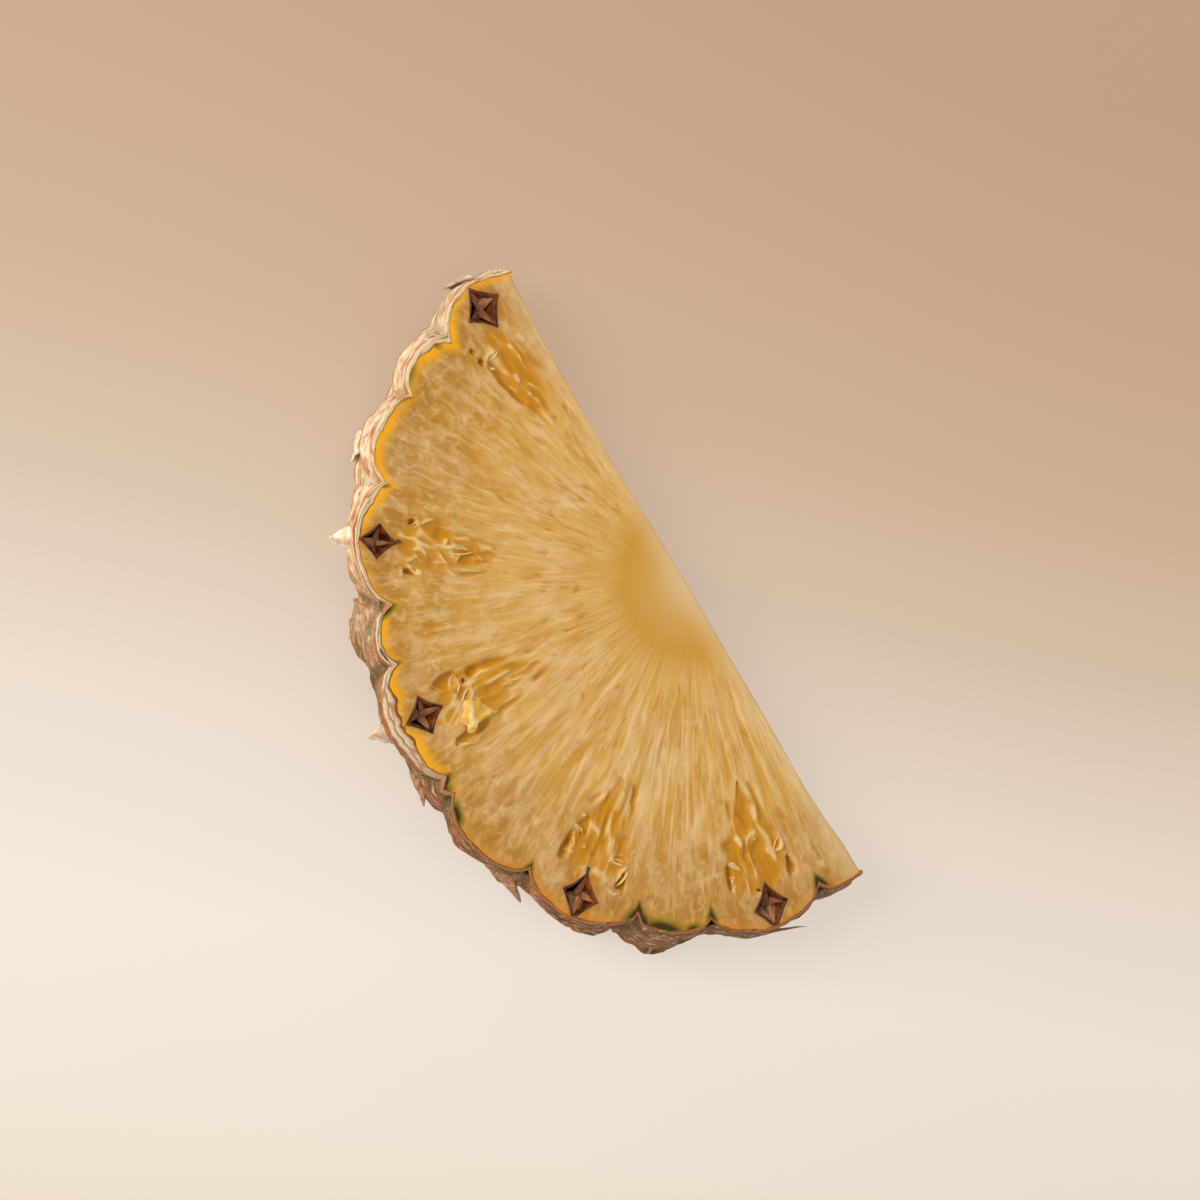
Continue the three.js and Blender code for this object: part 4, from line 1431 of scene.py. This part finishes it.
RAG_OUTLINE = np.array([  # direction round the middle, 0 is outwards; how far the edge is
    (-180, 2.6), (-150, 2.2), (-125, 2.7), (-108, 2.3), (-69, 3.4), (-40, 2.5), (-11, 3.4),
    (10, 2.6), (28, 3.4), (48, 2.7), (62, 1.3), (100, 1.1), (135, 1.6), (150, 3.1), (158, 4.3),
    (166, 3.0), (180, 2.6),
])


def make_membrane(number, angle, radius, turn, length, width, lift, curl):
    strip, u, v = add_grid(*MEMBRANE_GRID)
    share = (v + 1) / 2
    taper = (1 - np.abs(u) ** 1.6) ** 1.1
    ragged = 1 + 0.35 * soft_noise(u * 2.2, 0 * v, number, 80)
    along = u * length / 2
    bow = 0.18 * length * (1 - u**2) * curl
    across = 0.5 * share * width * taper * ragged * np.cos(curl * share) + bow
    height = 0.75 * lift * taper * ragged * np.sin(1.9 * share) - 0.3
    height += 0.1 * soft_noise(u * 3, v, number, 81)
    set_points(strip, bent_round(angle, radius, *turned(along, across, turn), -height))
    paint(strip, share=share)
    thicken(strip, MEMBRANE_THICK)
    return strip


def make_rag():
    rag, u, v = add_grid(*RAG_GRID)
    direction, share = 180 * u, (v + 1) / 2
    reach = np.interp(direction, *RAG_OUTLINE.T) * share
    outward = reach * np.cos(np.radians(direction))
    aside = reach * np.sin(np.radians(direction))
    folded = 1 - 2 * np.abs(soft_noise(outward / 2.4, aside / 1.7, 0, 82))
    height = 0.35 + 0.4 * (1 - share**2) + 0.3 * folded + 0.12 * outward
    set_points(rag, bent_round(RAG_ANGLE, RAG_RADIUS, outward, aside, -height))
    edit_all()
    bpy.ops.mesh.remove_doubles(threshold=0.01 * MM)
    object_mode()
    face_outwards()
    paint(rag, share=smooth_step(get_points(rag)[:, 2] - THICKNESS, 0.5, 1.3))
    thicken(rag, RAG_THICK)
    return rag


strips = [make_membrane(number, *size) for number, size in enumerate(MEMBRANES)]
membranes = join_pieces(strips + [make_rag()], "membranes")
finish_piece(membranes, smooth_angle=70)

look = Look("membranes", 0.36, scatter=0.5, scatter_depth=1.0)
spots = look.places()
look.colour = look.ramp(
    look.noise(spots, 0.7, 3), (0.38, 234, 176, 62), (0.62, 244, 200, 118),
)
look.lay_painted("share", 0.3, 1.0, 0.8, (250, 224, 166))
look.bump(look.noise(spots, 3, 3), 0.08, 0.6)
look.give(membranes)

# %% [markdown]
# ## Seeds
# A cultivated pineapple hardly sets seed, so only six brown specks show by the chambers. They
# are small balls drawn out to a point.

# %% Seeds
SEEDS = [  # angle, radius, length, turn
    (49.7, 56.2, 1.1, 20), (49.4, 57.4, 0.6, 70), (123.7, 52.8, 1.1, 0), (76.9, 47.0, 0.9, 60),
    (160.6, 55.3, 0.9, 60), (162.0, 55.7, 0.7, 80),
]


def make_seed(angle, radius, length, turn):
    deselect()
    bpy.ops.mesh.primitive_uv_sphere_add(segments=16, ring_count=10, radius=MM)
    seed = bpy.context.object
    x, y, z = get_points(seed).T
    along, across = 0.5 * length * x, 0.26 * length * y * (1 - 0.45 * x)
    depth = -0.2 * length * z - 0.02
    set_points(seed, bent_round(angle, radius, *turned(along, across, turn), depth))
    return seed


seeds = join_pieces([make_seed(*size) for size in SEEDS], "seeds")
finish_piece(seeds)

look = Look("seeds", 0.3)
spots = look.places()
look.colour = look.ramp(
    look.noise(spots, 2.5, 3), (0.35, 46, 20, 10), (0.65, 110, 60, 26),
)
look.bump(look.noise(spots, 6, 2), 0.05)
look.give(seeds)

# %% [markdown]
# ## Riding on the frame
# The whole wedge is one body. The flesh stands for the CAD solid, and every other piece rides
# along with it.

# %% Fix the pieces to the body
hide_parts("wedge")
for piece, slot in (
    (flesh, "flesh"), (membranes, "flesh"), (rind, "rind"), (scales, "rind"),
    (bracts, "bract"), (sepals, "bract"), (seeds, "seed"),
):
    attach(piece, "root")

# %% [markdown]
# ## Floor, light and camera
# The wedge lies on a plain warm floor with a painted light gradient: it grows lighter towards one
# side, as a paper sweep does under a window, and painted shade dims it a little across it. Most
# of the floor's tone glows by itself and the rest is lit, so the wedge's shadow stays faint. One
# large warm light stands low on the rind's side, so the relief of the face shows and the rind is
# bright, and the sky fills the shadows softly.

# %% Floor
FLOOR_SIZE = 3.0
VIEW_UP = Vector((0.8283, -0.5603, 0.0))  # the way on the floor that is up for the camera
FLOOR_RIGHT = Vector((-0.4852, -0.7173, 0.0))
LIGHT_POOL_LEAN = 0.2
LIGHT_POOL_RUN = 239.0
LIGHT_POOL_START = 0.562
FLOOR_SHADE_MOST = 0.09
FLOOR_GLOW = 0.72

deselect()
bpy.ops.mesh.primitive_grid_add(x_subdivisions=8, y_subdivisions=8, size=FLOOR_SIZE)
floor = bpy.context.object
floor.name = "floor"
look = Look("paper", 0.85)
coordinates = look.node("ShaderNodeTexCoord").outputs["Object"]
slope = look.dot(coordinates, VIEW_UP + LIGHT_POOL_LEAN * FLOOR_RIGHT)
# painted light: the floor's tone grows lighter towards the bottom of the view
tone = look.ramp(
    look.maths("MULTIPLY_ADD", slope, -1 / (LIGHT_POOL_RUN * MM), LIGHT_POOL_START, clamp=True),
    (0.03, 196, 165, 137), (0.19, 203, 172, 144), (0.33, 209, 180, 153), (0.47, 219, 197, 175),
    (0.61, 236, 222, 207), (0.76, 244, 234, 222), (0.90, 241, 230, 215), (0.97, 236, 223, 205),
)
# painted shade that darkens the floor towards the view's right
floor_shade = look.between(look.dot(coordinates, FLOOR_RIGHT), -0.09, 0.12, 0, FLOOR_SHADE_MOST)
tone = look.blend(floor_shade, tone, rgb(140, 92, 44))
look.join(tone, "Emission Color")
look.inputs["Emission Strength"].default_value = FLOOR_GLOW
look.colour = look.blend(FLOOR_GLOW, tone, rgb(0, 0, 0))
look.bump(look.noise(coordinates, 900, 3), 0.05, 0.3)
look.give(floor)

# %% Light
KEY_AZIMUTH = 38
KEY_ELEVATION = 28
KEY_DISTANCE = 2.5
KEY_SIZE = 1.3
KEY_POWER = 51.0
KEY_COLOUR = (1.0, 0.95, 0.88)
SKY_COLOUR = (1.0, 0.96, 0.91, 1.0)
SKY_STRENGTH = 0.60

turn, rise = math.radians(KEY_AZIMUTH), math.radians(KEY_ELEVATION)
level = math.cos(rise)
direction = Vector((math.cos(turn) * level, math.sin(turn) * level, math.sin(rise)))
lamp = bpy.data.lights.new("key", "AREA")
lamp.shape = "DISK"
lamp.size = KEY_SIZE
lamp.energy = KEY_POWER
lamp.color = KEY_COLOUR
key = bpy.data.objects.new("key", lamp)
key.location = direction * KEY_DISTANCE
key.rotation_euler = direction.to_track_quat("Z", "Y").to_euler()
bpy.context.scene.collection.objects.link(key)

world = bpy.data.worlds.new("sky")
world.use_nodes = True
background = world.node_tree.nodes["Background"]
background.inputs["Color"].default_value = SKY_COLOUR
background.inputs["Strength"].default_value = SKY_STRENGTH
bpy.context.scene.world = world
bpy.context.scene.view_settings.view_transform = "Standard"
print(f"key light of {KEY_POWER:.0f} W, {KEY_ELEVATION} degrees high")

# %% [markdown]
# The camera looks down at the face from 60 degrees above the floor on the rind's side, and is
# turned on its side, so that the straight cut leans across the view.

# %% Camera
CAMERA_LENS = 120.0
SENSOR = 36.0
VIEW_WIDTH = 205.0
AIM_RIGHT = -15.25
AIM_UP = -3.47
TO_CAMERA = Vector((0.2802, 0.4142, 0.8660))

view_right = VIEW_UP.cross(TO_CAMERA)
aim = Vector((AXIS_X, AXIS_Y, THICKNESS)) + view_right * AIM_RIGHT + VIEW_UP * AIM_UP
distance = VIEW_WIDTH * CAMERA_LENS / SENSOR
camera_data = bpy.data.cameras.new("camera")
camera_data.lens = CAMERA_LENS
camera_data.sensor_width = SENSOR
camera_data.clip_start = 0.01
camera = bpy.data.objects.new("camera", camera_data)
axes = np.array([view_right, VIEW_UP, TO_CAMERA]).T
camera.matrix_world = Matrix.Translation((aim + TO_CAMERA * distance) * MM) @ Matrix(axes).to_4x4()
bpy.context.scene.collection.objects.link(camera)
bpy.context.scene.camera = camera
print(f"camera {distance:.0f} mm away")
